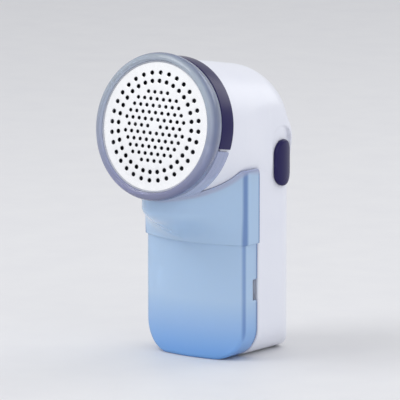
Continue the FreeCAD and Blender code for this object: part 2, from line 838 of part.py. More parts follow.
def motor_bracket():
    """Disc inside the sleeve that holds the motor and the chamber."""
    body = turned("motor_bracket", [
        ("3.3", "chamber_floor - 0.02"),
        ("3.3", "motor_front + 0.1"),
        ("12", "motor_front + 0.1"),
        ("12", "-16.3"),
        ("seat_radius", "-16.3"),
        ("seat_radius", "chamber_floor - 0.02"),
    ])
    holes = face_sketch(body, "motor_bracket_holes", "-18")
    for side in (-1, 1):
        disc(holes, f"{side} * 20", "0", "0.95")
    pocket(body, holes, "5", reverse=True)
    return finish(body, "motor_bracket")


def chamber_screws():
    """Two screws that hold the chamber on the bracket."""
    body = new_body("chamber_screws")
    body.AllowCompound = True
    heads = face_sketch(body, "chamber_screws_heads", "-13.38")
    shanks = face_sketch(body, "chamber_screws_shanks", "-13.38")
    for side in (-1, 1):
        disc(heads, f"{side} * 20", "0", "1.9")
        disc(shanks, f"{side} * 20", "0", "0.9")
    pad(body, heads, "1.2")
    pad(body, shanks, "6", reverse=True)
    return finish(body, "chamber_screws")


# ---------------------------------------------------------------- motor

def flatten(body, half, back, front):
    """Mill two flats, above and below, along part of the head axis."""
    for side in (-1, 1):
        sketch = face_sketch(body, f"{body.Name}_flat_{side + 1}", back)
        low, high = (half, "20") if side > 0 else ("-20", f"-({half})")
        outline(sketch, box_path("-20", low, "20", high))
        pocket(body, sketch, f"({front}) - ({back})", reverse=True)


def motor_drum():
    """Drawn steel can with a front bearing boss, open at the rear, before its flat walls are added."""
    body = turned("motor_can_drum", [
        ("1.7", "motor_front - 1"),
        ("motor_radius - 0.8", "motor_front - 1"),
        ("motor_radius - 0.8", "motor_back"),
        ("motor_radius", "motor_back"),
        ("motor_radius", "motor_front"),
        ("3.1", "motor_front"),
        ("3.1", "motor_front + 1.6"),
        ("1.7", "motor_front + 1.6"),
    ])
    flatten(body, "motor_flat", "motor_back - 1", "motor_front")
    return body


def motor_side(name, low, high):
    """Flat wall of the can between two heights over the head axis."""
    body = new_body(f"motor_side_{name}")
    sketch = face_sketch(body, f"motor_side_{name}_path", "motor_back")
    outline(sketch, box_path("-6.5", low, "6.5", high))
    pad(body, sketch, "motor_front - motor_back")
    return body


def motor_group():
    """Small brushed motor: can, cap, bushes, magnets, armature, commutator, brushes, terminals."""
    finish(fuse("motor_can", motor_drum(), motor_side("upper", "motor_flat - 0.6", "motor_flat"),
                motor_side("lower", "-motor_flat", "0.6 - motor_flat")), "motor_can")
    finish(motor_end_cap(), "motor_end_cap")
    bushes = fuse("motor_bushes", tube("bush_front", "shaft_radius + 0.03", "1.68", "motor_front - 0.9",
                                       "motor_front + 1.5"),
                  tube("bush_rear", "shaft_radius + 0.03", "1.68", "-41.9", "-39.7"))
    finish(bushes, "motor_bushes")
    magnets = cut("motor_magnets", tube("magnet_ring", "7.4", "9.2", "-36.5", "-20"),
                  magnet_gap("magnet_gap"))
    finish(magnets, "motor_magnets")
    finish(rod("motor_shaft", "shaft_radius - 0.01", "-41.5", "-5"), "motor_shaft")
    finish(armature_core(), "armature_core")
    finish(armature_windings(), "armature_windings")
    finish(tube("commutator", "shaft_radius", "2.2", "-38.9", "-35"), "commutator")
    finish(motor_brushes(), "motor_brushes")
    finish(motor_terminals(), "motor_terminals")


def motor_end_cap():
    """Plastic cap that closes the rear of the can and holds the rear bush."""
    cap = turned("motor_end_cap", [
        ("1.7", "-39.6"),
        ("1.7", "-42"),
        ("3.1", "-42"),
        ("3.1", "-40.8"),
        ("motor_radius - 0.3", "-40.8"),
        ("motor_radius - 0.3", "motor_back"),
        ("8.6", "motor_back"),
        ("8.6", "-39.6"),
    ])
    flatten(cap, "motor_flat - 0.1", "-43", "motor_back + 1")
    return cap


def magnet_gap(name):
    """Slab above and below the axis that leaves one magnet on each side."""
    body = new_body(name)
    sketch = face_sketch(body, f"{name}_slab", "-44")
    outline(sketch, box_path("-12", "5.4", "12", "12"))
    outline(sketch, box_path("-12", "-12", "12", "-5.4"))
    body.AllowCompound = True
    pad(body, sketch, "30")
    return body


def armature_core():
    """Three-pole laminated core on the shaft."""
    body = tube("armature_core", "shaft_radius", "2.6", "-32", "-23")
    pole = face_sketch(body, "armature_pole", "-32")
    outline(pole, [("1.1", "2"), ("1.1", "5.32"), ("4.1", "4.9"), ("3", "5.77"),
                   ("-3", "5.77", "6.5"), ("-4.1", "4.9"), ("-1.1", "5.32"), ("-1.1", "2")])
    ring_copies(body, pad(body, pole, "9"), pole, 3)
    return body


def armature_windings():
    """Copper coils round the three poles, shown as closed bundles."""
    body = new_body("armature_windings")
    body.AllowCompound = True
    coil = face_sketch(body, "armature_coil", "-33")
    outline(coil, box_path("-2.4", "3.1", "2.4", "4.7"))
    bundle = pad(body, coil, "11")
    core = face_sketch(body, "armature_coil_core", "-32.05")
    outline(core, box_path("-1.15", "2.6", "1.15", "5.8"))
    bore = pocket(body, core, "9.1", reverse=True)
    pattern = body.newObject("PartDesign::PolarPattern", "armature_windings_copies")
    pattern.Originals = [bundle, bore]
    pattern.Axis = (coil, ["N_Axis"])
    pattern.Angle = 360
    pattern.Occurrences = 3
    body.Tip = pattern
    return body


def motor_brushes():
    """Two carbon brushes on the commutator."""
    return fuse("motor_brushes",
                brush_block("brush_left", "-4.6", "-2.25"), brush_block("brush_right", "2.25", "4.6"))


def brush_block(name, low, high):
    body = new_body(name)
    sketch = face_sketch(body, f"{name}_path", "-38.6")
    outline(sketch, box_path(low, "-1", high, "1"))
    pad(body, sketch, "2.2")
    return body


def motor_terminals():
    """Two solder tags on the motor's end cap."""
    body = new_body("motor_terminals")
    body.AllowCompound = True
    sketch = face_sketch(body, "motor_terminals_path", "-44.2")
    outline(sketch, box_path("-6.6", "-1", "-6.1", "1"))
    outline(sketch, box_path("6.1", "-1", "6.6", "1"))
    pad(body, sketch, "3.4")
    return body


# ---------------------------------------------------------------- switch

def oval(name, grow, travel, back, front):
    """The button's oval widened by grow and drawn upward by travel, between two distances from the skin."""
    body = new_body(name)
    sketch = switch_sketch(body, f"{name}_path", back)
    half = f"(switch_half + {grow})"
    low = "(switch_half - switch_rise)"
    high = f"(switch_rise - switch_half + {travel})"
    outline(sketch, [
        (half, high),
        ("0", f"{high} + {half}", half),
        (f"-{half}", high, half),
        (f"-{half}", low),
        ("0", f"{low} - {half}", half),
        (half, low, half),
    ])
    pad(body, sketch, f"({front}) - ({back})")
    return body


def switch_track(name, grow):
    """Space that the button sweeps as it slides, widened by grow, from inside the wall outward."""
    return oval(name, grow, "switch_travel", "-3", "12")


def switch_block(name, low_x, low_y, high_x, high_y, back, front):
    """Block on the switch face; back and front are distances outward from the shell's skin."""
    body = new_body(name)
    sketch = switch_sketch(body, f"{name}_path", back)
    outline(sketch, box_path(low_x, low_y, high_x, high_y))
    pad(body, sketch, f"({front}) - ({back})")
    return body


def corner_ring(name, low, high):
    """Ring round the rear corner's upright axis, between two distances from the skin."""
    centre = ("handle_half - handle_corner", "handle_back - handle_corner", "switch_z - 16")
    return cut(name, upright(f"{name}_outer", *centre, f"handle_corner + {high}", "36"),
               upright(f"{name}_inner", *centre, f"handle_corner + {low}", "36"))


def switch_button():
    """Oval thumb button that hugs the rounded corner, with its stem through the wall."""
    plate = common("button_plate", oval("button_oval", "0", "0", "-2", "4"),
                   corner_ring("button_ring", "switch_gap", "switch_proud"))
    cap = cut("button_cap", plate, handle_block("button_skin", "-switch_gap", "split_y", "handle_top"))
    rim = doc.addObject("Part::Fillet", "button_rim")
    rim.Base = cap
    doc.recompute()
    axis_x = size("handle_half - handle_corner")
    axis_y = size("handle_back - handle_corner")
    outer = size("handle_corner + switch_proud")
    bend = 0.6
    chosen = []
    for number, edge in enumerate(cap.Shape.Edges, start=1):
        reach = [math.hypot(v.X - axis_x, v.Y - axis_y) for v in edge.Vertexes]
        if all(abs(r - outer) < 0.01 for r in reach):
            chosen.append((number, bend, bend))
    rim.Edges = chosen
    stem = switch_block("button_stem", "-2.2", "-5", "2.2", "4.2", "-4.2", "0.8")
    return finish(fuse("switch_button", rim, stem), "switch_button")


def switch_carrier():
    """Inner plate clipped on the button's stem, notched for the switch lever."""
    plate = switch_block("carrier_plate", "-4", "-8", "4", "5.8", "-4.2", "-2.9")
    hole = switch_block("carrier_hole", "-2.22", "-5.02", "2.22", "4.22", "-5", "-2")
    prongs = switch_block("carrier_prongs", "-3.2", "-3", "3.2", "3", "-5.6", "-4.2")
    notch = switch_block("carrier_notch", "-1.1", "-1.4", "1.1", "1.4", "-6", "-4")
    return finish(fuse("switch_carrier", cut("carrier_ring", plate, hole),
                       cut("carrier_fork", prongs, notch)), "switch_carrier")


def switch_module():
    """Slide switch: cased body with mounting ears, its lever and three solder tags."""
    case = switch_block("switch_case", "-3.4", "-5.5", "3.4", "10.5", "-10.6", "-6.2")
    slot = switch_block("switch_case_slot", "-1.1", "-1.5", "1.1", "6.5", "-8.4", "-6")
    ears = switch_block("switch_ears", "-2.6", "-10.5", "2.6", "15.5", "-7", "-6.2")
    finish(cut("switch_body", fuse("switch_case_joined", case, ears), slot), "switch_body")
    finish(switch_block("switch_lever", "-1", "-1.3", "1", "1.3", "-8.2", "-4.25"), "switch_lever")
    tags = [switch_block(f"switch_tag_{count}", "-0.9", f"{level} - 0.3", "0.9", f"{level} + 0.3",
                         "-13.4", "-10.6") for count, level in enumerate(("-2", "2.5", "7"))]
    finish(fuse("switch_terminals", *tags), "switch_terminals")


def switch_ledges():
    """Two ledges inside the shell that carry the switch's ears."""
    skin = corner_ring("ledge_ring", "-9", "-1")
    ledges = []
    for count, (low, high) in enumerate((("-10.5", "-8.5"), ("13.7", "15.5"))):
        block = switch_block(f"ledge_block_{count}", "-2.6", low, "2.6", high, "-6.2", "-1")
        ledges.append(common(f"ledge_{count}", block, skin))
    return ledges


# ---------------------------------------------------------------- cells and wiring

def cell(name, side, nub_up):
    """AA cell with its nub at one end."""
    x = f"{side} * cell_x"
    low = "cell_z" if nub_up else "cell_z + 1"
    tip = "cell_z + cell_length - 1" if nub_up else "cell_z"
    can = upright(f"{name}_can", x, "cell_y", low, "cell_radius", "cell_length - 1")
    nub = upright(f"{name}_nub", x, "cell_y", tip, "2.7", "1")
    return finish(fuse(name, can, nub), name)


def coil_spring(name, x, low, pitch, turns, radius="4.2", wire="0.3"):
    """Upright coil between a contact and a cell's flat end."""
    body = new_body(name)
    sketch = sketch_on(body, f"{name}_wire", "XZ_Plane", (x, low, "-cell_y"))
    disc(sketch, radius, wire, wire)
    coil = body.newObject("PartDesign::AdditiveHelix", f"{name}_coil")
    coil.Profile = sketch
    coil.ReferenceAxis = (sketch, ["V_Axis"])
    coil.Mode = "pitch-turns-angle"
    coil.Pitch = pitch
    coil.Turns = turns
    return body


def battery_tray():
    """Plastic tray in front of the cells with a floor, a roof and two ribs to the front panel."""
    front = "cell_y - cell_radius - 1.4"
    wall = box("tray_wall", "-tray_half", front, "3.8", "tray_half", "cell_y - cell_radius - 0.2",
               "tray_top")
    floor = box("tray_floor", "-tray_half", front, "3.8", "tray_half", "16.4", "5.2")
    roof = box("tray_roof", "-tray_half", front, "tray_top - 1.4", "tray_half", "16.4", "tray_top")
    ribs = [box(f"tray_rib_{side + 1}", f"{side} * 9.8 - 0.6", "split_y + shell_wall", "12",
                f"{side} * 9.8 + 0.6", "cell_y - cell_radius - 1", "56") for side in (-1, 1)]
    return fuse("battery_tray", wall, floor, roof, *ribs)


def contact_plate(name, low_x, high_x, low_z):
    """Flat contact across the end of the cells."""
    return box(name, low_x, "cell_y - 5.5", low_z, high_x, "cell_y + 5.5", f"{low_z} + 0.4")


def battery_group():
    """Tray, two cells, and the contacts that put them in series."""
    cell("battery_left", "-1", True)
    cell("battery_right", "1", False)
    finish(battery_tray(), "battery_tray")
    bridge = contact_plate("bridge_plate", "-13", "13", "5.2")
    dimple = upright("bridge_dimple", "cell_x", "cell_y", "5.5", "2.4", "cell_z - 5.5")
    finish(fuse("contact_bridge", bridge, dimple), "contact_bridge")
    finish(coil_spring("contact_spring_lower", "-cell_x", "5.6", 0.7, 2), "contact_spring_lower")
    top = "cell_z + cell_length"
    bump = upright("positive_dimple", "-cell_x", "cell_y", top, "2.4", f"60.3 - ({top})")
    positive = contact_plate("positive_plate", "-13", "-2", "60.2")
    finish(fuse("contact_positive", positive, bump), "contact_positive")
    finish(contact_plate("negative_plate", "2", "13", "60.2"), "contact_negative")
    finish(coil_spring("contact_spring_upper", "cell_x", top, 0.75, 2), "contact_spring_upper")


def along(up, forward, x=0.0):
    """Point in the head: up from the axis and forward along it."""
    lean = math.radians(size("head_tilt"))
    y = size("head_y") - forward * math.cos(lean) + up * math.sin(lean)
    z = size("head_z") + forward * math.sin(lean) + up * math.cos(lean)
    return V(x, y, z)


def wire(label, points, radius=0.55):
    """Insulated wire swept along a smooth run of points."""
    curve = Part.BSplineCurve()
    curve.interpolate(points)
    path = Part.Wire([curve.toShape()])
    start = curve.value(curve.FirstParameter)
    heading = curve.tangent(curve.FirstParameter)[0]
    ring = Part.Wire([Part.Circle(start, heading, radius).toShape()])
    feature = doc.addObject("Part::Feature", label)
    feature.Shape = path.makePipeShell([ring], True, True)
    return finish(feature, label)


def wiring():
    """Three wires and the capacitor across the motor's tags."""
    tray_top = size("tray_top")
    cell_x = size("cell_x")
    tag_x = 6.35
    wire("wire_red", [V(-cell_x, 5.0, tray_top + 0.2), V(-cell_x, 5.4, tray_top + 5), V(3.0, 7.0, 74.0),
                      V(10.4, 7.1, 80.6), V(12.8, 8.0, 82.0)])
    wire("wire_black", [V(cell_x, 5.0, tray_top + 0.2), V(cell_x, 3.6, tray_top + 6), V(-4.0, 3.5, 80.0),
                        along(-2.0, -49, -tag_x), along(0, -44.8, -tag_x)])
    wire("wire_link", [V(12.8, 8.0, 86.5), V(10.5, 7.2, 86.8), along(-2.2, -49, tag_x),
                       along(0, -44.8, tag_x)])
    body = rod("suppression_capacitor", "3.1", "-47.4", "-45.2")
    return finish(body, "suppression_capacitor")


def build():
    """Make every sub-part."""
    rear_shell()
    front_panel()
    housing_screws()
    head_sleeve()
    head_collar()
    battery_door()
    lint_container()
    guard_ring()
    foil_frame()
    foil()
    cutter_chamber()
    cutter_hub()
    cutter_blades()
    cutter_spring()
    drive_coupler()
    motor_bracket()
    chamber_screws()
    motor_group()
    switch_button()
    switch_carrier()
    switch_module()
    battery_group()
    wiring()


def check():
    """Stop unless every object recomputed and every sub-part is a sound shape."""
    faults = []
    for thing in doc.Objects:
        if "Invalid" in thing.State or "Error" in thing.State:
            faults.append(f"{thing.Name} {thing.State}")
    for thing in made:
        if thing.Shape.isNull() or not thing.Shape.isValid() or thing.Shape.Volume <= 0:
            faults.append(f"{thing.Label} has no sound shape")
    if faults:
        raise RuntimeError("; ".join(faults))


def write():
    os.makedirs("parts", exist_ok=True)
    for thing in made:
        thing.Shape.exportStep(f"parts/{thing.Label}.step")


build()
doc.recompute()
check()
write()
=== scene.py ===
"""Looks of the fabric shaver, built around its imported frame.

Moulded parts are carved as smooth distance fields in millimetres and turned into
meshes by surface nets; round parts are lathed about the head axis. Everything is
placed from the frame's boxes and joints.
"""
import json
import math

import bmesh
import bpy
import numpy as np
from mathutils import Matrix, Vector
from mathutils.geometry import delaunay_2d_cdt


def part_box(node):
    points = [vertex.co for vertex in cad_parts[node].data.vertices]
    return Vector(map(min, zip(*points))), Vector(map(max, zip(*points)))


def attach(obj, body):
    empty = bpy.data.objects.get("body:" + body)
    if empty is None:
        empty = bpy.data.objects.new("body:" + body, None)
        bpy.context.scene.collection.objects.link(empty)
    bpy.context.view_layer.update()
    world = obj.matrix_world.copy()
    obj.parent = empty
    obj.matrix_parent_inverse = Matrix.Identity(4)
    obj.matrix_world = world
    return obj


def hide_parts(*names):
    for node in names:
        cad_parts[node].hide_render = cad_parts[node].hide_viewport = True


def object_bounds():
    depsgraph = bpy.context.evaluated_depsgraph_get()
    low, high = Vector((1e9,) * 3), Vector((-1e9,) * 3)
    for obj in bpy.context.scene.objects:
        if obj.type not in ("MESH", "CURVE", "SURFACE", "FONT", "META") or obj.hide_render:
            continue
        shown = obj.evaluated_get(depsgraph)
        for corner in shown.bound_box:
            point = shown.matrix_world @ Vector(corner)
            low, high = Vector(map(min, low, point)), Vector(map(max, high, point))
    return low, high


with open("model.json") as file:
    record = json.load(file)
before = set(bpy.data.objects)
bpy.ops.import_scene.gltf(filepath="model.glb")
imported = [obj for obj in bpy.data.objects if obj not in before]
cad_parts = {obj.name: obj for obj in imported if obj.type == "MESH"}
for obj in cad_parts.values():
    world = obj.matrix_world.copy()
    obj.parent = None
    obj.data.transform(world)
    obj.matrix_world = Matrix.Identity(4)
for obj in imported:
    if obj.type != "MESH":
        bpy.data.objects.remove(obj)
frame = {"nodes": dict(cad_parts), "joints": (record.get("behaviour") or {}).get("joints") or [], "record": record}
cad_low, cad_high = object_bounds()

MM = 0.001


# ---------------------------------------------------------------- measures from the frame, in millimetres

def box_mm(node):
    """Lowest and highest corner of a node's box."""
    low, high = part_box(node)
    return np.array(low) / MM, np.array(high) / MM


def joint(name):
    """The frame's entry for a joint."""
    return next(entry for entry in frame["joints"] if entry["name"] == name)


HEAD = np.array(joint("cutter_spin")["pos_m"]) / MM
FORWARD = np.array(joint("cutter_spin")["axis"])
UP = np.array([0.0, FORWARD[2], -FORWARD[1]])
PANEL_LOW, PANEL_HIGH = box_mm("front_panel")
SHELL_LOW, SHELL_HIGH = box_mm("rear_shell")
TUB_LOW, TUB_HIGH = box_mm("lint_container")
BUTTON_LOW, BUTTON_HIGH = box_mm("switch_button")
DOOR_HIGH = box_mm("battery_door")[1]

# walls, gaps, and how far a cut runs out past an open face
WALL = 2.0
GAP = 0.15
SKIN_GAP = 0.02
PAST = 5.0
FAR_INSIDE = -99.0

# handle
HANDLE_HALF = PANEL_HIGH[0] + WALL + GAP
HANDLE_BACK = DOOR_HIGH[1]
HANDLE_CORNER = 15.0
HANDLE_TOP = HEAD[2] - 7.3
HOLLOW_TOP = HANDLE_TOP - WALL
FOOT_CORNER = 14.0
SPLIT_Y = PANEL_LOW[1]
PANEL_TOP = 68.4
NECK_FILLET = 2.0
NECK_GROWTH = 6.0
NECK_START = 6.0
NECK_RUN = 12.0

# head: radii from its axis, and places along the axis measured forward from the foil's rim
CORE = box_mm("head_sleeve")[1][0]
RING = box_mm("guard_ring")[1][0]
COLLAR = box_mm("head_collar")[1][0]
COLLAR_FRONT = -6.2
COLLAR_BACK = -14.4
COLLAR_ENDS = (-11.9, 191.9)
HOUSING_FRONT = -14.6
HOUSING_OPEN = 3.0
HOUSING_END = -70.0
DOME = 20.0
WAIST_FRONT = -20.0
WAIST_BACK = 2.0
GUARD_INNER = 28.45
GUARD_BACK = -8.72
LIP_CENTRE = (29.3, -1.5)
LIP_HALF = (2.66, 3.4)

# battery door's opening
MOUTH_HALF = 17.15
MOUTH_DEPTH = 8.0
GATE_HALF = 18.7
GATE_TOP = 4.1

# slide switch on the rounded rear corner
CORNER_X = HANDLE_HALF - HANDLE_CORNER
CORNER_Y = HANDLE_BACK - HANDLE_CORNER
SWITCH_TURN = math.radians(6.0)
BUTTON_HALF = 6.2
BUTTON_PROUD = 1.75
BUTTON_RISE = (BUTTON_HIGH[2] - BUTTON_LOW[2]) / 2
BUTTON_Z = (BUTTON_LOW[2] + BUTTON_HIGH[2]) / 2
BUTTON_STEP = 0.28
TRAVEL = joint("switch_travel")["range_m"][1] / MM
BUTTON_GAP = 0.2
SEAT_MARGIN = 0.7
BACKING_MARGIN = 2.7
SLOT_HALF = 2.4
SLOT_RISE = 7.3
SLOT_MIDDLE = 2.1
SLOT_DEPTH = 4.0
STEM_HALF = 2.2
STEM_RISE = 4.6
STEM_MIDDLE = -0.4
STEM_ROOT = 0.8
STEM_DEPTH = 4.2

# lint container
TUB_HALF = 26.4
TUB_WALL = 1.6
TUB_BACK = SPLIT_Y - GAP
TUB_CHEEK = -17.5
TUB_APEX = -22.7
TUB_TOP = 84.0
TOP_BEND = 2.6
STEP_Z = 51.0
STEP_OUT = 1.4
STEP_LAP = 3.0
CLIMB_START = STEP_Z - 2.0
NOSE_Z = 67.0
NOSE_Y = -29.3
NOSE_RADIUS = 16.0
NOSE_HALF = 12.7
CHEEK_SLOPE = 0.8
HOOD_Y = -28.5
HOOD_TOP = 110.0
OPEN_BACK = 50.0
SADDLE_WALL = 2.4
SADDLE_GAP = 0.2
GUARD_ROOM = 0.6
BAND_REACH = 76.0
RIB_PLACES = (-8.3, -11.6)
RIB_HEIGHT = 0.3
RIB_SPREAD = 0.45
WINDOW_HALF = 7.5
WINDOW_MIDDLE = -12.05
WINDOW_DEPTH = 1.55
WINDOW_LOW = -34.0
WINDOW_HIGH = -20.0
NOTCH_LOW = (24.0, SPLIT_Y - 3.2, 26.0)
NOTCH_HIGH = (30.0, SPLIT_Y + 2.0, 35.0)

# foil
FOIL_RADIUS = 27.6
FOIL_FLAT = 25.2
FOIL_CROWN = 0.9
FOIL_THICK = 0.3
FOIL_RINGS = (23.2, 19.6)
RING_COUNT = 32
RING_HOLE = 1.0
FOIL_PITCH = 3.4
FOIL_FIELD = 16.8
FIELD_ROWS = 5
FIELD_HOLE = 0.85
PRESS_DEPTH = 0.08
PRESS_REACH = 0.42


# ---------------------------------------------------------------- distance fields

def soft_min(a, b, rounding):
    """Union of two fields with a fillet between them."""
    blend = np.maximum(rounding - np.abs(a - b), 0.0) / rounding
    return np.minimum(a, b) - blend * blend * rounding / 4


def soft_max(a, b, rounding):
    """Intersection of two fields with a rounded edge."""
    return -soft_min(-a, -b, rounding)


def cut_out(a, b, rounding):
    """Field a with b taken away."""
    return soft_max(a, -b, rounding)


def rounded_corner(across, along, radius):
    """Where across and along are both below zero, with their shared corner rounded."""
    a = across + radius
    b = along + radius
    outside = np.hypot(np.maximum(a, 0.0), np.maximum(b, 0.0))
    return outside + np.minimum(np.maximum(a, b), 0.0) - radius


def block(p, low, high):
    """Field of an upright block."""
    parts = [np.maximum(low[i] - p[i], p[i] - high[i]) for i in range(3)]
    return np.maximum(np.maximum(parts[0], parts[1]), parts[2])


def head_place(p):
    """Distance from the head axis, place forward along it, and height above it square to it."""
    y = p[1] - HEAD[1]
    z = p[2] - HEAD[2]
    forward = y * FORWARD[1] + z * FORWARD[2]
    up = y * UP[1] + z * UP[2]
    return np.hypot(p[0], up), forward, up


def handle_field(p):
    """Endless upward handle: rounded feet seen from the front, rounded rear corners from above."""
    side = np.abs(p[0]) - HANDLE_HALF
    front = rounded_corner(side, -p[2], FOOT_CORNER)
    plan = rounded_corner(side, p[1] - HANDLE_BACK, HANDLE_CORNER)
    return soft_max(front, plan, rounding=1.2)


def housing_field(p):
    """Head housing: round about the head axis, domed behind, its sides drawn in to the handle's width."""
    radius, forward, _ = head_place(p)
    drum = rounded_corner(radius - CORE, HOUSING_END - forward, DOME)
    share = np.clip((p[1] - WAIST_FRONT) / (WAIST_BACK - WAIST_FRONT), 0.0, 1.0)
    waist = np.abs(p[0]) - CORE - (HANDLE_HALF - CORE) * share
    return soft_max(drum, waist, rounding=1.5)


def white_outer(p):
    """Outer skin of the white body, handle and housing flowing into each other."""
    handle = soft_max(handle_field(p), p[2] - HANDLE_TOP, rounding=6.0)
    handle = soft_max(handle, SPLIT_Y - p[1], rounding=0.5)
    _, forward, _ = head_place(p)
    housing = soft_max(housing_field(p), forward - HOUSING_FRONT, rounding=0.5)
    fillet = NECK_FILLET + NECK_GROWTH * np.clip((p[1] - NECK_START) / NECK_RUN, 0.0, 1.0)
    return soft_min(handle, housing, fillet)


def white_hollow(p):
    """Inside of the white body, open at the handle's front and at the head."""
    handle = handle_field(p) + WALL
    handle = np.maximum(handle, p[2] - HOLLOW_TOP)
    apron = np.minimum(p[2] - PANEL_TOP, SPLIT_Y + WALL - p[1])
    handle = np.maximum(handle, apron)
    _, forward, _ = head_place(p)
    housing = np.maximum(housing_field(p) + WALL, forward - HOUSING_FRONT - HOUSING_OPEN)
    return soft_min(handle, housing, rounding=2.0)


def switch_place(p):
    """Place on the switch face: round the corner, up, out from its axis, and out from the handle's skin."""
    dx = p[0] - CORNER_X
    dy = p[1] - CORNER_Y
    out = np.hypot(dx, dy) - HANDLE_CORNER
    tangent = -dx * math.sin(SWITCH_TURN) + dy * math.cos(SWITCH_TURN)
    ahead = dx * math.cos(SWITCH_TURN) + dy * math.sin(SWITCH_TURN)
    skin = np.where(ahead > 0, handle_field(p), FAR_INSIDE)
    return tangent, p[2] - BUTTON_Z, out, skin


def oval(tangent, up, half, rise, extra_up=0.0):
    """Upright oval with round ends, stretched upward by extra_up."""
    straight = rise - half
    over = np.maximum(up - straight - extra_up, 0.0) + np.minimum(up + straight, 0.0)
    return np.hypot(tangent, over) - half


def rear_shell_field(p):
    """White shell with its door mouth, switch seat and stem slot."""
    tangent, up, _, skin = switch_place(p)
    backing = oval(tangent, up, BUTTON_HALF + BACKING_MARGIN, BUTTON_RISE + BACKING_MARGIN, TRAVEL)
    backing = np.maximum(backing, -WALL - skin)
    shell = cut_out(white_outer(p), cut_out(white_hollow(p), backing, rounding=0.4), rounding=0.6)
    depth = HANDLE_BACK - MOUTH_DEPTH
    mouth = block(p, (-MOUTH_HALF, depth, -PAST), (MOUTH_HALF, HANDLE_BACK + PAST, DOOR_HIGH[2] + GAP))
    gate = block(p, (-GATE_HALF, depth, -PAST), (GATE_HALF, HANDLE_BACK - WALL, GATE_TOP))
    shell = cut_out(shell, np.minimum(mouth, gate), rounding=0.4)
    seat = oval(tangent, up, BUTTON_HALF + SEAT_MARGIN, BUTTON_RISE + SEAT_MARGIN, TRAVEL)
    shell = cut_out(shell, np.maximum(seat, SKIN_GAP - skin), rounding=0.5)
    slot = np.maximum(np.abs(tangent) - SLOT_HALF, np.abs(up - SLOT_MIDDLE) - SLOT_RISE)
    return cut_out(shell, np.maximum(slot, -SLOT_DEPTH - skin), rounding=0.3)


def button_field(p):
    """Thumb button hugging the rounded corner, with its stem."""
    tangent, up, out, skin = switch_place(p)
    cap = soft_max(oval(tangent, up, BUTTON_HALF, BUTTON_RISE), out - BUTTON_PROUD, rounding=1.3)
    cap = soft_max(cap, BUTTON_GAP - skin, rounding=0.3)
    stem = np.maximum(np.abs(tangent) - STEM_HALF, np.abs(up - STEM_MIDDLE) - STEM_RISE)
    stem = np.maximum(stem, np.maximum(skin - STEM_ROOT, -STEM_DEPTH - skin))
    return np.minimum(cap, stem)


def bow(p, half, apex):
    """Bulging front of the container seen from above."""
    rise = TUB_CHEEK - apex
    radius = (half * half + rise * rise) / (2 * rise)
    return np.hypot(p[0], p[1] - apex - radius) - radius


def nose_field(p, wide):
    """Narrow nose under the head seen from above: straight cheeks that run into a round front."""
    end = np.array([NOSE_HALF, NOSE_Y - math.sqrt(NOSE_RADIUS ** 2 - NOSE_HALF ** 2)])
    along = end - np.array([wide, TUB_CHEEK])
    along = along / np.linalg.norm(along)
    normal = np.array([-along[1], along[0]])
    cheek = (np.abs(p[0]) - wide) * normal[0] + (p[1] - TUB_CHEEK) * normal[1]
    ball = np.hypot(p[0], p[1] - NOSE_Y) - NOSE_RADIUS
    behind = p[1] > end[1] + (NOSE_HALF - np.abs(p[0])) * CHEEK_SLOPE
    return np.where(behind, cheek, np.maximum(ball, cheek))


def container_body(p, back):
    """Closed outer form of the container before it is hollowed; back is its rear plane."""
    side = np.abs(p[0]) - TUB_HALF
    foot = rounded_corner(side, -p[2], FOOT_CORNER)
    tub = soft_max(foot, bow(p, TUB_HALF, TUB_APEX), rounding=1.6)
    tub = soft_max(tub, p[2] - STEP_Z - STEP_LAP, rounding=0.5)
    wide = TUB_HALF + STEP_OUT
    reach = NOSE_Z - CLIMB_START
    climb = np.clip((p[2] - CLIMB_START) / reach, 0.0, 1.0)
    level = climb * climb * (3 - 2 * climb)
    bowed = bow(p, wide, TUB_APEX - STEP_OUT)
    swell = nose_field(p, wide) - bowed
    slope = swell * 6 * climb * (1 - climb) / reach
    front = (bowed + level * swell) / np.sqrt(1 + slope * slope)
    upper = soft_max(front, np.abs(p[0]) - wide, rounding=1.8)
    upper = soft_max(upper, STEP_Z - p[2], rounding=0.5)
    body = soft_min(tub, upper, rounding=0.5)
    return soft_max(body, p[1] - back, rounding=0.5)


def container_shell(p, radius):
    """Tub and chin with their hollow, leaving a saddle's thickness under the head."""
    body = container_body(p, TUB_BACK)
    top = rounded_corner(p[2] - TUB_TOP, p[1] - TUB_BACK, TOP_BEND)
    top = np.where(p[1] < HOOD_Y, p[2] - HOOD_TOP, top)
    body = soft_max(body, top, rounding=0.5)
    hollow = container_body(p, OPEN_BACK) + TUB_WALL
    hollow = soft_max(hollow, CORE + SADDLE_WALL - radius, rounding=1.0)
    hollow = soft_max(hollow, p[2] - TUB_TOP + TUB_WALL, rounding=1.0)
    return cut_out(body, hollow, rounding=0.6)


def container_band(radius, forward, up, across):
    """Ribbed band that curls up round the head from below."""
    angle = np.degrees(np.arctan2(across, -up))
    ribs = RIB_HEIGHT * sum(np.exp(-((forward - place) / RIB_SPREAD) ** 2) for place in RIB_PLACES)
    middle = (COLLAR_FRONT + COLLAR_BACK) / 2
    half = (COLLAR_FRONT - COLLAR_BACK) / 2
    band = soft_max(radius - COLLAR - ribs, np.abs(forward - middle) - half, rounding=0.6)
    return soft_max(band, (angle - BAND_REACH) * radius * math.pi / 180, rounding=0.8)


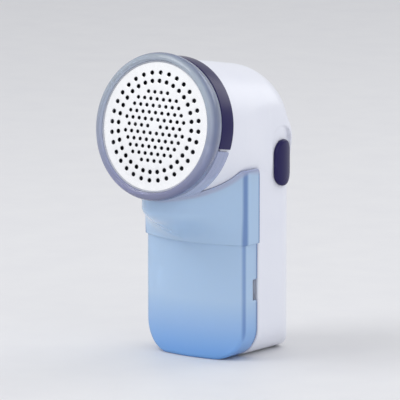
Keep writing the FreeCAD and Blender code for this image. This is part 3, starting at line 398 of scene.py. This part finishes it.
def container_field(p):
    """Clear lint container: hollow tub, saddle, band round the head, and a window for the lint."""
    radius, forward, up = head_place(p)
    across = np.abs(p[0])
    band = container_band(radius, forward, up, across)
    shell = soft_min(container_shell(p, radius), band, rounding=1.2)
    shell = soft_max(shell, CORE + SADDLE_GAP - radius, rounding=0.3)
    guard_room = np.maximum(radius - RING - GUARD_ROOM, COLLAR_FRONT - SKIN_GAP - forward)
    shell = cut_out(shell, guard_room, rounding=0.3)
    window = np.maximum(across - WINDOW_HALF, np.abs(forward - WINDOW_MIDDLE) - WINDOW_DEPTH)
    window = np.maximum(window, np.maximum(WINDOW_LOW - up, up - WINDOW_HIGH))
    notch = block((across, p[1], p[2]), NOTCH_LOW, NOTCH_HIGH)
    return cut_out(cut_out(shell, window, rounding=0.4), notch, rounding=0.8)


# ---------------------------------------------------------------- surface nets

CORNERS = [(x, y, z) for x in (0, 1) for y in (0, 1) for z in (0, 1)]
QUAD = ((0, 0), (1, 0), (1, 1), (0, 1))
SETTLE_ROUNDS = 2
EVEN_ROUNDS = 2


def surface_net(field, low, high, step):
    """Mesh where the field is zero: one point in each mixed cell, evened out and drawn on to the surface."""
    margin = 1.5 * step
    axes = [np.arange(low[i] - margin, high[i] + margin, step, dtype=np.float32) for i in range(3)]
    values = field(np.meshgrid(*axes, indexing="ij")).astype(np.float32)
    cells, index = mixed_cells(values)
    place = crossing_means(values, cells) * step + np.array([axis[0] for axis in axes])
    faces = crossing_quads(values, index)
    place = settled(field, place, step)
    for _ in range(EVEN_ROUNDS):
        place = settled(field, (place + neighbour_mean(place, faces)) / 2, step)
    return place, faces


def mixed_cells(values):
    """Grid cells with corners on both sides of zero, and each cell's number."""
    inside = values < 0
    nx, ny, nz = [n - 1 for n in values.shape]
    total = np.zeros((nx, ny, nz), np.int8)
    for cx, cy, cz in CORNERS:
        total += inside[cx:cx + nx, cy:cy + ny, cz:cz + nz]
    mixed = (total > 0) & (total < 8)
    cells = np.argwhere(mixed)
    index = -np.ones((nx, ny, nz), np.int64)
    index[mixed] = np.arange(len(cells))
    return cells, index


def crossing_means(values, cells):
    """Mean of the places where each cell's edges cross zero, in grid units."""
    place = np.zeros((len(cells), 3))
    hits = np.zeros(len(cells))
    for corner in CORNERS:
        for axis in range(3):
            if corner[axis]:
                continue
            beyond = list(corner)
            beyond[axis] = 1
            near = values[tuple((cells + corner).T)]
            far = values[tuple((cells + beyond).T)]
            crossed = (near < 0) != (far < 0)
            share = np.where(crossed, near / np.where(crossed, near - far, 1.0), 0.0)
            point = np.array(corner, float)[None, :].repeat(len(cells), 0)
            point[:, axis] += share
            place[crossed] += point[crossed]
            hits += crossed
    return place / hits[:, None] + cells


def crossing_quads(values, index):
    """One quad round each grid edge that crosses zero, joining the four cells beside it."""
    inside = values < 0
    faces = []
    for axis, (first, second) in enumerate(((1, 2), (2, 0), (0, 1))):
        start = np.take(inside, range(0, inside.shape[axis] - 1), axis)
        end = np.take(inside, range(1, inside.shape[axis]), axis)
        edges = np.argwhere(start != end)
        keep = (edges[:, first] > 0) & (edges[:, second] > 0)
        keep &= (edges[:, first] < index.shape[first]) & (edges[:, second] < index.shape[second])
        edges = edges[keep]
        loop = []
        for back_first, back_second in QUAD:
            cell = edges.copy()
            cell[:, first] -= back_first
            cell[:, second] -= back_second
            loop.append(index[tuple(cell.T)])
        quads = np.stack(loop, 1)
        entering = ~start[tuple(edges.T)]
        quads[entering] = quads[entering][:, ::-1]
        faces.append(quads)
    return np.concatenate(faces)


def settled(field, place, step):
    """Points moved along the field's slope on to its zero surface."""
    nudge = 0.02
    least_slope = 0.2
    for _ in range(SETTLE_ROUNDS):
        value = field(tuple(place.T))
        ahead = [field(tuple((place + along * nudge).T)) for along in np.eye(3)]
        slope = np.stack([(reached - value) / nudge for reached in ahead], 1)
        move = value[:, None] * slope / np.maximum((slope ** 2).sum(1), least_slope)[:, None]
        place = place - np.clip(move, -step / 2, step / 2)
    return place


def neighbour_mean(place, faces):
    """Mean of each point's neighbours along the quads' edges."""
    starts = faces.ravel()
    ends = np.roll(faces, -1, axis=1).ravel()
    both = np.concatenate((starts, ends))
    other = np.concatenate((ends, starts))
    count = np.bincount(both, minlength=len(place))
    total = np.stack([np.bincount(both, place[other, i], len(place)) for i in range(3)], 1)
    return total / np.maximum(count, 1)[:, None]


def mesh_object(name, points_mm, faces):
    """Object from points in millimetres."""
    mesh = bpy.data.meshes.new(name)
    points = np.asarray(points_mm, np.float32) * MM
    faces = np.asarray(faces, np.int32)
    mesh.vertices.add(len(points))
    mesh.vertices.foreach_set("co", points.ravel())
    corners = faces.shape[1]
    mesh.loops.add(faces.size)
    mesh.loops.foreach_set("vertex_index", faces.ravel())
    mesh.polygons.add(len(faces))
    mesh.polygons.foreach_set("loop_start", np.arange(0, faces.size, corners, dtype=np.int32))
    mesh.update(calc_edges=True)
    mesh.validate()
    mesh.shade_smooth()
    thing = bpy.data.objects.new(name, mesh)
    bpy.context.scene.collection.objects.link(thing)
    return thing


def carved(name, field, low, high, step):
    """Object carved from a field inside a box."""
    points, faces = surface_net(field, low, high, step)
    return mesh_object(name, points, faces)


# ---------------------------------------------------------------- round pieces

LATHE_SHARP = math.radians(50)
FOIL_SHARP = math.radians(40)
CAD_SHARP = math.radians(28)


def head_point(radius, forward, angle):
    """Point about the head axis; angle 0 is the +X side, a quarter turn is up."""
    across = np.array([1.0, 0, 0]) * math.cos(angle) + UP * math.sin(angle)
    return HEAD + FORWARD * forward + across * radius


def rounded_loop(corners, bend, steps=5):
    """Closed profile with every corner rounded by up to bend, or by less than half of a short side."""
    loop = []
    count = len(corners)
    share = 2.2
    for i, corner in enumerate(corners):
        here = np.array(corner, float)
        before = np.array(corners[i - 1], float) - here
        after = np.array(corners[(i + 1) % count], float) - here
        reach = min(bend, np.linalg.norm(before) / share, np.linalg.norm(after) / share)
        start = here + before / np.linalg.norm(before) * reach
        end = here + after / np.linalg.norm(after) * reach
        for k in range(steps + 1):
            t = k / steps
            loop.append((1 - t) ** 2 * start + 2 * t * (1 - t) * here + t * t * end)
    return loop


def lathed(name, loop, low=0.0, high=360.0, segments=180):
    """Closed profile of (radius, forward) turned about the head axis, capped when it isn't a full turn."""
    whole = high - low >= 360.0
    turns = segments if whole else segments + 1
    angles = [math.radians(low + (high - low) * i / segments) for i in range(turns)]
    points = [head_point(r, f, a) for a in angles for r, f in loop]
    size = len(loop)
    faces = []
    for i in range(segments):
        here = i * size
        there = ((i + 1) % turns) * size
        for k in range(size):
            following = (k + 1) % size
            faces.append((here + k, here + following, there + following, there + k))
    mesh = bpy.data.meshes.new(name)
    if not whole:
        faces.append(tuple(range(size)))
        faces.append(tuple(reversed(range((turns - 1) * size, turns * size))))
    mesh.from_pydata([tuple(np.array(p) * MM) for p in points], [], faces)
    shape = bmesh.new()
    shape.from_mesh(mesh)
    bmesh.ops.recalc_face_normals(shape, faces=shape.faces)
    shape.to_mesh(mesh)
    shape.free()
    mesh.shade_smooth()
    mesh.set_sharp_from_angle(angle=LATHE_SHARP)
    thing = bpy.data.objects.new(name, mesh)
    bpy.context.scene.collection.objects.link(thing)
    return thing


def guard_ring():
    """Clear spacer ring: a rolled lip in front that flares to the head's largest radius."""
    skirt = CORE - 0.15
    shoulder = COLLAR_FRONT + 0.1
    inside = [(GUARD_INNER, GUARD_BACK), (GUARD_INNER, 0.4), (28.65, 1.45), (29.1, 1.85)]
    turns = [math.radians(t) for t in range(6, 95, 8)]
    lip = [(LIP_CENTRE[0] + LIP_HALF[0] * math.sin(t), LIP_CENTRE[1] + LIP_HALF[1] * math.cos(t))
           for t in turns]
    flare = [(RING - 0.2, -2.6), (COLLAR - 0.1, shoulder + 0.5), (COLLAR - 0.3, shoulder)]
    back = [(skirt, shoulder), (skirt, GUARD_BACK + 0.32), (skirt - 0.35, GUARD_BACK)]
    return lathed("guard_ring_clear", inside + lip + flare + back)


def head_collar():
    """Navy band with rounded edges over the top of the head."""
    inner = CORE + 0.05
    corners = [(inner, COLLAR_BACK), (inner, COLLAR_FRONT), (COLLAR, COLLAR_FRONT), (COLLAR, COLLAR_BACK)]
    return lathed("head_collar_band", rounded_loop(corners, bend=0.35), *COLLAR_ENDS)


# ---------------------------------------------------------------- foil

def foil_holes():
    """Centres and radii of the holes: two rings and a hexagonal field."""
    holes = []
    for ring in FOIL_RINGS:
        for k in range(RING_COUNT):
            angle = math.radians(90 + k * 360 / RING_COUNT)
            holes.append((ring * math.cos(angle), ring * math.sin(angle), RING_HOLE))
    for sector in range(6):
        turn = math.radians(60 * sector)
        for row in range(1, FIELD_ROWS + 1):
            for step in range(row):
                x = FOIL_PITCH * (row - step * 0.5)
                y = FOIL_PITCH * step * math.sqrt(0.75)
                if math.hypot(x, y) < FOIL_FIELD:
                    across = x * math.cos(turn) - y * math.sin(turn)
                    up = x * math.sin(turn) + y * math.cos(turn)
                    holes.append((across, up, FIELD_HOLE))
    return holes


def foil_height(x, y, holes):
    """Height of the foil's outer skin: a shallow dome, pressed in a little round each hole."""
    radius = np.hypot(x, y)
    dome = FOIL_CROWN * np.clip(1 - (radius / FOIL_FLAT) ** 2, 0, 1)
    rim = np.full(len(x), FOIL_RADIUS)
    for hx, hy, hr in holes:
        rim = np.minimum(rim, np.hypot(x - hx, y - hy) - hr)
    return dome - PRESS_DEPTH * np.clip(1 - rim / PRESS_REACH, 0, 1) ** 2


def circle(cx, cy, radius, count, start=0.0):
    """Evenly spaced points of a circle."""
    angles = [2 * math.pi * (k + start) / count for k in range(count)]
    return [Vector((cx + radius * math.cos(a), cy + radius * math.sin(a))) for a in angles]


def foil_plan(holes):
    """Flat points and faces of the foil: its rim and holes, with finer rings beside them."""
    points = []
    edges = []
    nearest = 0.0001
    for cx, cy, radius, count in [(0, 0, FOIL_RADIUS, 180)] + [(x, y, r, 20) for x, y, r in holes]:
        first = len(points)
        points += circle(cx, cy, radius, count)
        edges += [(first + k, first + (k + 1) % count) for k in range(count)]
    for x, y, radius in holes:
        for rim in (0.2, 0.45):
            points += circle(x, y, radius + rim, 16, rim)
    for ring, count in ((27.2, 140), (26.5, 130), (25.8, 120), (25.2, 110), (24.8, 100)):
        points += circle(0, 0, ring, count, 0.5)
    outcome = delaunay_2d_cdt(points, edges, [], 0, nearest)
    flat = np.array([tuple(point) for point in outcome[0]])
    return flat, [face for face in outcome[2] if is_metal(flat[list(face)].mean(0), holes)]


def is_metal(middle, holes):
    """Whether a face lies on the disc and outside every hole, whose flat sides pass inside its circle."""
    inner = 0.985
    if np.hypot(*middle) > FOIL_RADIUS:
        return False
    return not any(math.hypot(middle[0] - x, middle[1] - y) < r * inner for x, y, r in holes)


def foil_disc():
    """Perforated foil with real holes and thickness."""
    holes = foil_holes()
    flat, faces = foil_plan(holes)
    height = foil_height(flat[:, 0], flat[:, 1], holes)
    right = np.array([1.0, 0, 0])
    top = HEAD + flat[:, :1] * right + flat[:, 1:] * UP + height[:, None] * FORWARD
    mesh = bpy.data.meshes.new("foil_sheet")
    mesh.from_pydata([tuple(p * MM) for p in top], [], faces)
    thicken(mesh)
    mesh.shade_smooth()
    mesh.set_sharp_from_angle(angle=FOIL_SHARP)
    thing = bpy.data.objects.new("foil_sheet", mesh)
    bpy.context.scene.collection.objects.link(thing)
    return thing


def thicken(mesh):
    """Give the foil's sheet its thickness, to the rear."""
    shape = bmesh.new()
    shape.from_mesh(mesh)
    bmesh.ops.delete(shape, geom=[v for v in shape.verts if not v.link_faces], context="VERTS")
    bmesh.ops.recalc_face_normals(shape, faces=shape.faces)
    if sum(face.normal.dot(Vector(FORWARD)) for face in shape.faces) < 0:
        bmesh.ops.reverse_faces(shape, faces=shape.faces)
    grown = bmesh.ops.extrude_face_region(shape, geom=list(shape.faces))
    back = [v for v in grown["geom"] if isinstance(v, bmesh.types.BMVert)]
    bmesh.ops.translate(shape, verts=back, vec=Vector(-FORWARD * FOIL_THICK * MM))
    bmesh.ops.recalc_face_normals(shape, faces=shape.faces)
    shape.to_mesh(mesh)
    shape.free()


# ---------------------------------------------------------------- materials

# noise scales in features a metre, and depths in metres
TONE = 45
GLOSS = 60
GRAIN = 1100
GRAIN_DEPTH = 0.00006
RIPPLE_DEPTH = 0.0004
SWIRL = 90
SWIRL_DEPTH = 0.0003
PATCHES = 70
DRAWN = 400
SCRATCHES = 1500
SCRATCH_DEPTH = 0.00005


def new_material(name, color, roughness, metallic=0.0, transmission=0.0, ior=1.46, coat=0.0):
    """Principled material with its node tree ready for detail."""
    material = bpy.data.materials.new(name)
    material.use_nodes = True
    shader = material.node_tree.nodes["Principled BSDF"]
    shader.inputs["Base Color"].default_value = (*color, 1)
    shader.inputs["Roughness"].default_value = roughness
    shader.inputs["Metallic"].default_value = metallic
    shader.inputs["Transmission Weight"].default_value = transmission
    shader.inputs["IOR"].default_value = ior
    shader.inputs["Coat Weight"].default_value = coat
    return material, shader


def place_node(material):
    """Object coordinates, in metres."""
    return material.node_tree.nodes.new("ShaderNodeTexCoord").outputs["Object"]


def noise(material, scale, detail=3.0, stretch=None):
    """Noise driven by object coordinates; stretch squeezes it along axes."""
    tree = material.node_tree
    texture = tree.nodes.new("ShaderNodeTexNoise")
    texture.inputs["Scale"].default_value = scale
    texture.inputs["Detail"].default_value = detail
    source = place_node(material)
    if stretch is not None:
        mapping = tree.nodes.new("ShaderNodeMapping")
        mapping.inputs["Scale"].default_value = stretch
        tree.links.new(source, mapping.inputs["Vector"])
        source = mapping.outputs["Vector"]
    tree.links.new(source, texture.inputs["Vector"])
    return texture.outputs["Fac"]


def spread(material, source, low, high, from_low=0.3, from_high=0.7):
    """Map a value on to a range."""
    node = material.node_tree.nodes.new("ShaderNodeMapRange")
    node.inputs["From Min"].default_value = from_low
    node.inputs["From Max"].default_value = from_high
    node.inputs["To Min"].default_value = low
    node.inputs["To Max"].default_value = high
    material.node_tree.links.new(source, node.inputs["Value"])
    return node.outputs["Result"]


def mix_color(material, factor, first, second):
    """Blend of two colours by a value."""
    tree = material.node_tree
    node = tree.nodes.new("ShaderNodeMix")
    node.data_type = "RGBA"
    node.inputs["A"].default_value = (*first, 1)
    node.inputs["B"].default_value = (*second, 1)
    tree.links.new(factor, node.inputs["Factor"])
    return node.outputs["Result"]


def add_bump(material, shader, height, strength, distance):
    """Surface relief from a height socket."""
    tree = material.node_tree
    bump = tree.nodes.new("ShaderNodeBump")
    bump.inputs["Strength"].default_value = strength
    bump.inputs["Distance"].default_value = distance
    tree.links.new(height, bump.inputs["Height"])
    tree.links.new(bump.outputs["Normal"], shader.inputs["Normal"])


def link(material, source, shader, socket):
    """Drive one of the shader's inputs."""
    material.node_tree.links.new(source, shader.inputs[socket])


def plastic(name, color, shade, rough_low, rough_high, coat=0.0, grain=0.05):
    """Moulded plastic: slight tone drift, uneven gloss and fine surface grain."""
    material, shader = new_material(name, color, rough_low, coat=coat)
    drift = spread(material, noise(material, TONE), 0, 1)
    link(material, mix_color(material, drift, color, shade), shader, "Base Color")
    gloss = spread(material, noise(material, GLOSS, 1), rough_low, rough_high, 0.2, 0.8)
    link(material, gloss, shader, "Roughness")
    add_bump(material, shader, noise(material, GRAIN, 2), grain, GRAIN_DEPTH)
    return material


def white_body():
    """Faintly blue white of the housing."""
    return plastic("white_moulded_abs", (0.82, 0.835, 0.9), (0.795, 0.81, 0.885), 0.27, 0.35)


def navy_gloss():
    """Dark violet-blue trim with a weak sheen."""
    material = plastic("navy_gloss_abs", (0.009, 0.006, 0.066), (0.012, 0.008, 0.078), 0.24, 0.34)
    material.node_tree.nodes["Principled BSDF"].inputs["Specular IOR Level"].default_value = 0.3
    return material


def maths(material, operation, *values):
    """Arithmetic node on numbers and sockets."""
    node = material.node_tree.nodes.new("ShaderNodeMath")
    node.operation = operation
    for socket, value in zip(node.inputs, values):
        if isinstance(value, (int, float)):
            socket.default_value = value
        else:
            material.node_tree.links.new(value, socket)
    return node.outputs["Value"]


def place_axes(material):
    """Object coordinates in millimetres, one socket an axis."""
    split = material.node_tree.nodes.new("ShaderNodeSeparateXYZ")
    material.node_tree.links.new(place_node(material), split.inputs["Vector"])
    return [maths(material, "DIVIDE", split.outputs[axis], MM) for axis in "XYZ"]


def long_side(material, first, second):
    """Long side of the right triangle on two lengths."""
    squares = [maths(material, "MULTIPLY", side, side) for side in (first, second)]
    return maths(material, "SQRT", maths(material, "ADD", *squares))


def head_radius(material, x, y, z):
    """Distance from the head axis."""
    back = maths(material, "MULTIPLY", maths(material, "SUBTRACT", y, float(HEAD[1])), float(UP[1]))
    rise = maths(material, "MULTIPLY", maths(material, "SUBTRACT", z, float(HEAD[2])), float(UP[2]))
    return long_side(material, x, maths(material, "ADD", back, rise))


def tint(material, below, factor, color):
    """Colour socket blended towards a colour."""
    tree = material.node_tree
    node = tree.nodes.new("ShaderNodeMix")
    node.data_type = "RGBA"
    tree.links.new(below, node.inputs["A"])
    node.inputs["B"].default_value = (*color, 1)
    tree.links.new(factor, node.inputs["Factor"])
    return node.outputs["Result"]


def clear_blue():
    """Tinted clear styrene, milky light blue, with painted shade: the blue deepens towards the foot, and dark
    lines are painted along its front corners and its top and rear rims.
    """
    material, shader = new_material("clear_blue_styrene", (0.6, 0.76, 0.97), 0.1,
                                    transmission=0.3, ior=1.35, coat=0.25)
    x, y, z = place_axes(material)
    # painted shade: the blue deepens over the lowest millimetres, towards the foot
    foot_shade_height = 26.0
    foot = spread(material, z, 0, 1, 0.0, foot_shade_height)
    color = mix_color(material, foot, (0.2, 0.47, 0.95), (0.56, 0.76, 1.0))
    # painted shade: a dark line down each front corner, where the clear wall is seen edge-on
    side = maths(material, "SUBTRACT", maths(material, "ABSOLUTE", x), TUB_HALF + 0.5)
    edge = maths(material, "SUBTRACT", y, TUB_CHEEK)
    corner = long_side(material, side, edge)
    color = tint(material, color, spread(material, corner, 0.75, 0, 0.7, 1.9), (0.1, 0.22, 0.55))
    # painted shade: dark bands along the top and rear rims of the wall
    rear = spread(material, y, 0, 0.9, TUB_BACK - 1.5, TUB_BACK - 0.7)
    top = spread(material, z, 0, 0.9, TUB_TOP - 1.5, TUB_TOP - 0.7)
    color = tint(material, color, maths(material, "MAXIMUM", rear, top), (0.13, 0.24, 0.55))
    saddle = spread(material, head_radius(material, x, y, z), 0.85, 0, CORE + 1.6, CORE + 2.6)
    color = tint(material, color, saddle, (0.52, 0.56, 0.76))
    link(material, color, shader, "Base Color")
    link(material, spread(material, noise(material, GLOSS, 1), 0.06, 0.14), shader, "Roughness")
    add_bump(material, shader, noise(material, GLOSS, 2), 0.12, RIPPLE_DEPTH)
    return material


def clear_smoke():
    """Grey-blue clear plastic of the spacer ring, with painted light and shade: lighter on top, darker low down,
    and a dark line painted round its outer rim.
    """
    material, shader = new_material("clear_smoke_plastic", (0.6, 0.66, 0.8), 0.08,
                                    transmission=0.55, ior=1.4, coat=0.2)
    x, y, z = place_axes(material)
    # painted light and shade: lighter at the top of the ring, darker low down
    level = spread(material, z, 0, 1, HEAD[2] - 26.0, HEAD[2] + 14.0)
    color = mix_color(material, level, (0.44, 0.46, 0.70), (0.70, 0.79, 0.90))
    # painted shade: a dark line round the ring's outer rim
    rim = spread(material, head_radius(material, x, y, z), 0, 0.75, RING - 1.3, RING - 0.3)
    color = tint(material, color, rim, (0.2, 0.24, 0.42))
    link(material, color, shader, "Base Color")
    link(material, spread(material, noise(material, GLOSS, 1), 0.05, 0.13), shader, "Roughness")
    add_bump(material, shader, noise(material, SWIRL, 2), 0.08, SWIRL_DEPTH)
    return material


def steel(name, color, rough_low, rough_high, stretch=(1, 1, 1), grain=0.08):
    """Metal with drawn lines along one direction and patchy polish."""
    material, shader = new_material(name, color, rough_low, metallic=1.0)
    dark = tuple(channel * 0.95 for channel in color)
    patches = spread(material, noise(material, PATCHES), 0, 1)
    link(material, mix_color(material, patches, color, dark), shader, "Base Color")
    polish = spread(material, noise(material, DRAWN, 4, stretch), rough_low, rough_high)
    link(material, polish, shader, "Roughness")
    add_bump(material, shader, noise(material, SCRATCHES, 3, stretch), grain, SCRATCH_DEPTH)
    return material


def make_materials():
    """Every finish by the record's slot."""
    return {
        "white_body": white_body(),
        "navy_trim": navy_gloss(),
        "clear_blue": clear_blue(),
        "clear_smoke": clear_smoke(),
        "foil_steel": steel("polished_foil", (0.88, 0.885, 0.9), 0.24, 0.34, grain=0.01),
        "blade_steel": steel("ground_blades", (0.6, 0.61, 0.63), 0.25, 0.4, (1, 6, 1)),
        "white_inner": plastic("inner_moulding", (0.55, 0.57, 0.63), (0.5, 0.52, 0.58), 0.4, 0.55),
        "screw_steel": steel("zinc_plate", (0.6, 0.62, 0.64), 0.25, 0.45),
        "motor_steel": steel("drawn_can", (0.62, 0.63, 0.64), 0.25, 0.42, (1, 1, 5)),
        "magnet_ferrite": plastic("ferrite", (0.035, 0.035, 0.04), (0.05, 0.05, 0.055), 0.6, 0.8, grain=0.3),
        "copper": steel("copper_wire", (0.75, 0.36, 0.16), 0.25, 0.4, (1, 8, 1), 0.3),
        "carbon": plastic("black_moulding", (0.02, 0.02, 0.022), (0.03, 0.03, 0.032), 0.45, 0.6),
        "contact_metal": steel("nickel_contact", (0.72, 0.7, 0.62), 0.2, 0.35),
        "cell_jacket": plastic("cell_jacket", (0.05, 0.07, 0.1), (0.07, 0.09, 0.13), 0.25, 0.35, coat=0.4),
        "wire_red": plastic("wire_red_pvc", (0.45, 0.02, 0.02), (0.5, 0.03, 0.03), 0.4, 0.5),
        "wire_black": plastic("wire_black_pvc", (0.015, 0.015, 0.016), (0.025, 0.025, 0.026), 0.4, 0.5),
        "capacitor_orange": plastic("dipped_ceramic", (0.5, 0.2, 0.04), (0.56, 0.24, 0.05), 0.45, 0.6),
    }


# parts inside the head, coloured near-black as painted shade seen through the foil's holes
SHADED_HEAD_NODES = ("cutter_chamber", "cutter_hub", "motor_bracket")


def dress(thing, material):
    """Give a thing one finish and no other."""
    thing.data.materials.clear()
    thing.data.materials.append(material)


# ---------------------------------------------------------------- assembly

materials = make_materials()
# near-black painted shade for the parts inside the head
painted_shade_inner = plastic("painted_shade_chamber_moulding", (0.03, 0.032, 0.05), (0.04, 0.042, 0.06), 0.45, 0.6)

slot_of = {entry["node"]: entry["material_slot"] for entry in frame["record"]["subparts"]}
for node, thing in frame["nodes"].items():
    dress(thing, painted_shade_inner if node in SHADED_HEAD_NODES else materials[slot_of[node]])
    thing.data.shade_smooth()
    thing.data.set_sharp_from_angle(angle=CAD_SHARP)


def stand_in(piece, node, body):
    """A finished piece takes a CAD node's place."""
    dress(piece, materials[slot_of[node]])
    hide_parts(node)
    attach(piece, body)


SHELL_STEP = 0.6
TUB_STEP = 0.42
shell = carved("rear_shell_white", rear_shell_field, SHELL_LOW, SHELL_HIGH, SHELL_STEP)
stand_in(shell, "rear_shell", "body")
tub = carved("lint_container_clear", container_field, TUB_LOW, TUB_HIGH, TUB_STEP)
stand_in(tub, "lint_container", "container")
button = carved("switch_button_oval", button_field, BUTTON_LOW, BUTTON_HIGH, BUTTON_STEP)
stand_in(button, "switch_button", "switch")
stand_in(guard_ring(), "guard_ring", "guard")
stand_in(head_collar(), "head_collar", "body")
stand_in(foil_disc(), "foil", "foil_unit")


# ---------------------------------------------------------------- stage

def floor():
    """Plain pale floor at the foot of the object."""
    mesh = bpy.data.meshes.new("floor")
    reach = 3.0
    corners = [(-reach, -reach, 0), (reach, -reach, 0), (reach, reach, 0), (-reach, reach, 0)]
    mesh.from_pydata(corners, [], [(0, 1, 2, 3)])
    thing = bpy.data.objects.new("floor", mesh)
    bpy.context.scene.collection.objects.link(thing)
    dress(thing, plastic("pale_floor", (0.78, 0.78, 0.79), (0.76, 0.76, 0.775), 0.5, 0.6, grain=0.0))


def soft_light(name, place, aim, size, power, color=(1, 1, 1)):
    """Square area light turned to a point; metres and watts."""
    lamp = bpy.data.lights.new(name, "AREA")
    lamp.shape = "SQUARE"
    lamp.size = size
    lamp.energy = power
    lamp.color = color
    thing = bpy.data.objects.new(name, lamp)
    thing.location = place
    thing.rotation_euler = (Vector(aim) - Vector(place)).to_track_quat("-Z", "Y").to_euler()
    bpy.context.scene.collection.objects.link(thing)


def camera(azimuth, elevation, distance, lens):
    """Long lens aimed at the object's middle; degrees, metres and millimetres."""
    middle = (cad_low + cad_high) / 2
    a = math.radians(azimuth)
    e = math.radians(elevation)
    back = Vector((math.sin(a) * math.cos(e), -math.cos(a) * math.cos(e), math.sin(e)))
    data = bpy.data.cameras.new("camera")
    data.lens = lens
    data.clip_start = 0.01
    thing = bpy.data.objects.new("camera", data)
    thing.location = middle + back * distance
    thing.rotation_euler = (-back).to_track_quat("-Z", "Y").to_euler()
    bpy.context.scene.collection.objects.link(thing)
    bpy.context.scene.camera = thing


def surroundings(color, strength):
    """Even light from all round."""
    world = bpy.data.worlds.new("studio")
    world.use_nodes = True
    background = world.node_tree.nodes["Background"]
    background.inputs["Color"].default_value = (*color, 1)
    background.inputs["Strength"].default_value = strength
    bpy.context.scene.world = world


floor()
MIDDLE = (0, 0, 0.07)
FOIL_MIDDLE = (0, -0.046, 0.104)
soft_light("key", place=(-0.45, -0.6, 0.95), aim=MIDDLE, size=0.6, power=4.5)
soft_light("foil_card", place=(-0.72, -1.0, 0.24), aim=FOIL_MIDDLE, size=0.9, power=1.1)
soft_light("fill", place=(0.9, -0.35, 0.45), aim=MIDDLE, size=0.9, power=2.0, color=(0.96, 0.97, 1.0))
soft_light("rim", place=(0.3, 0.9, 0.7), aim=MIDDLE, size=0.7, power=2.4)
surroundings(color=(0.86, 0.87, 0.9), strength=0.78)
bpy.context.scene.view_settings.view_transform = "Standard"
camera(azimuth=37, elevation=10, distance=2.6, lens=540)
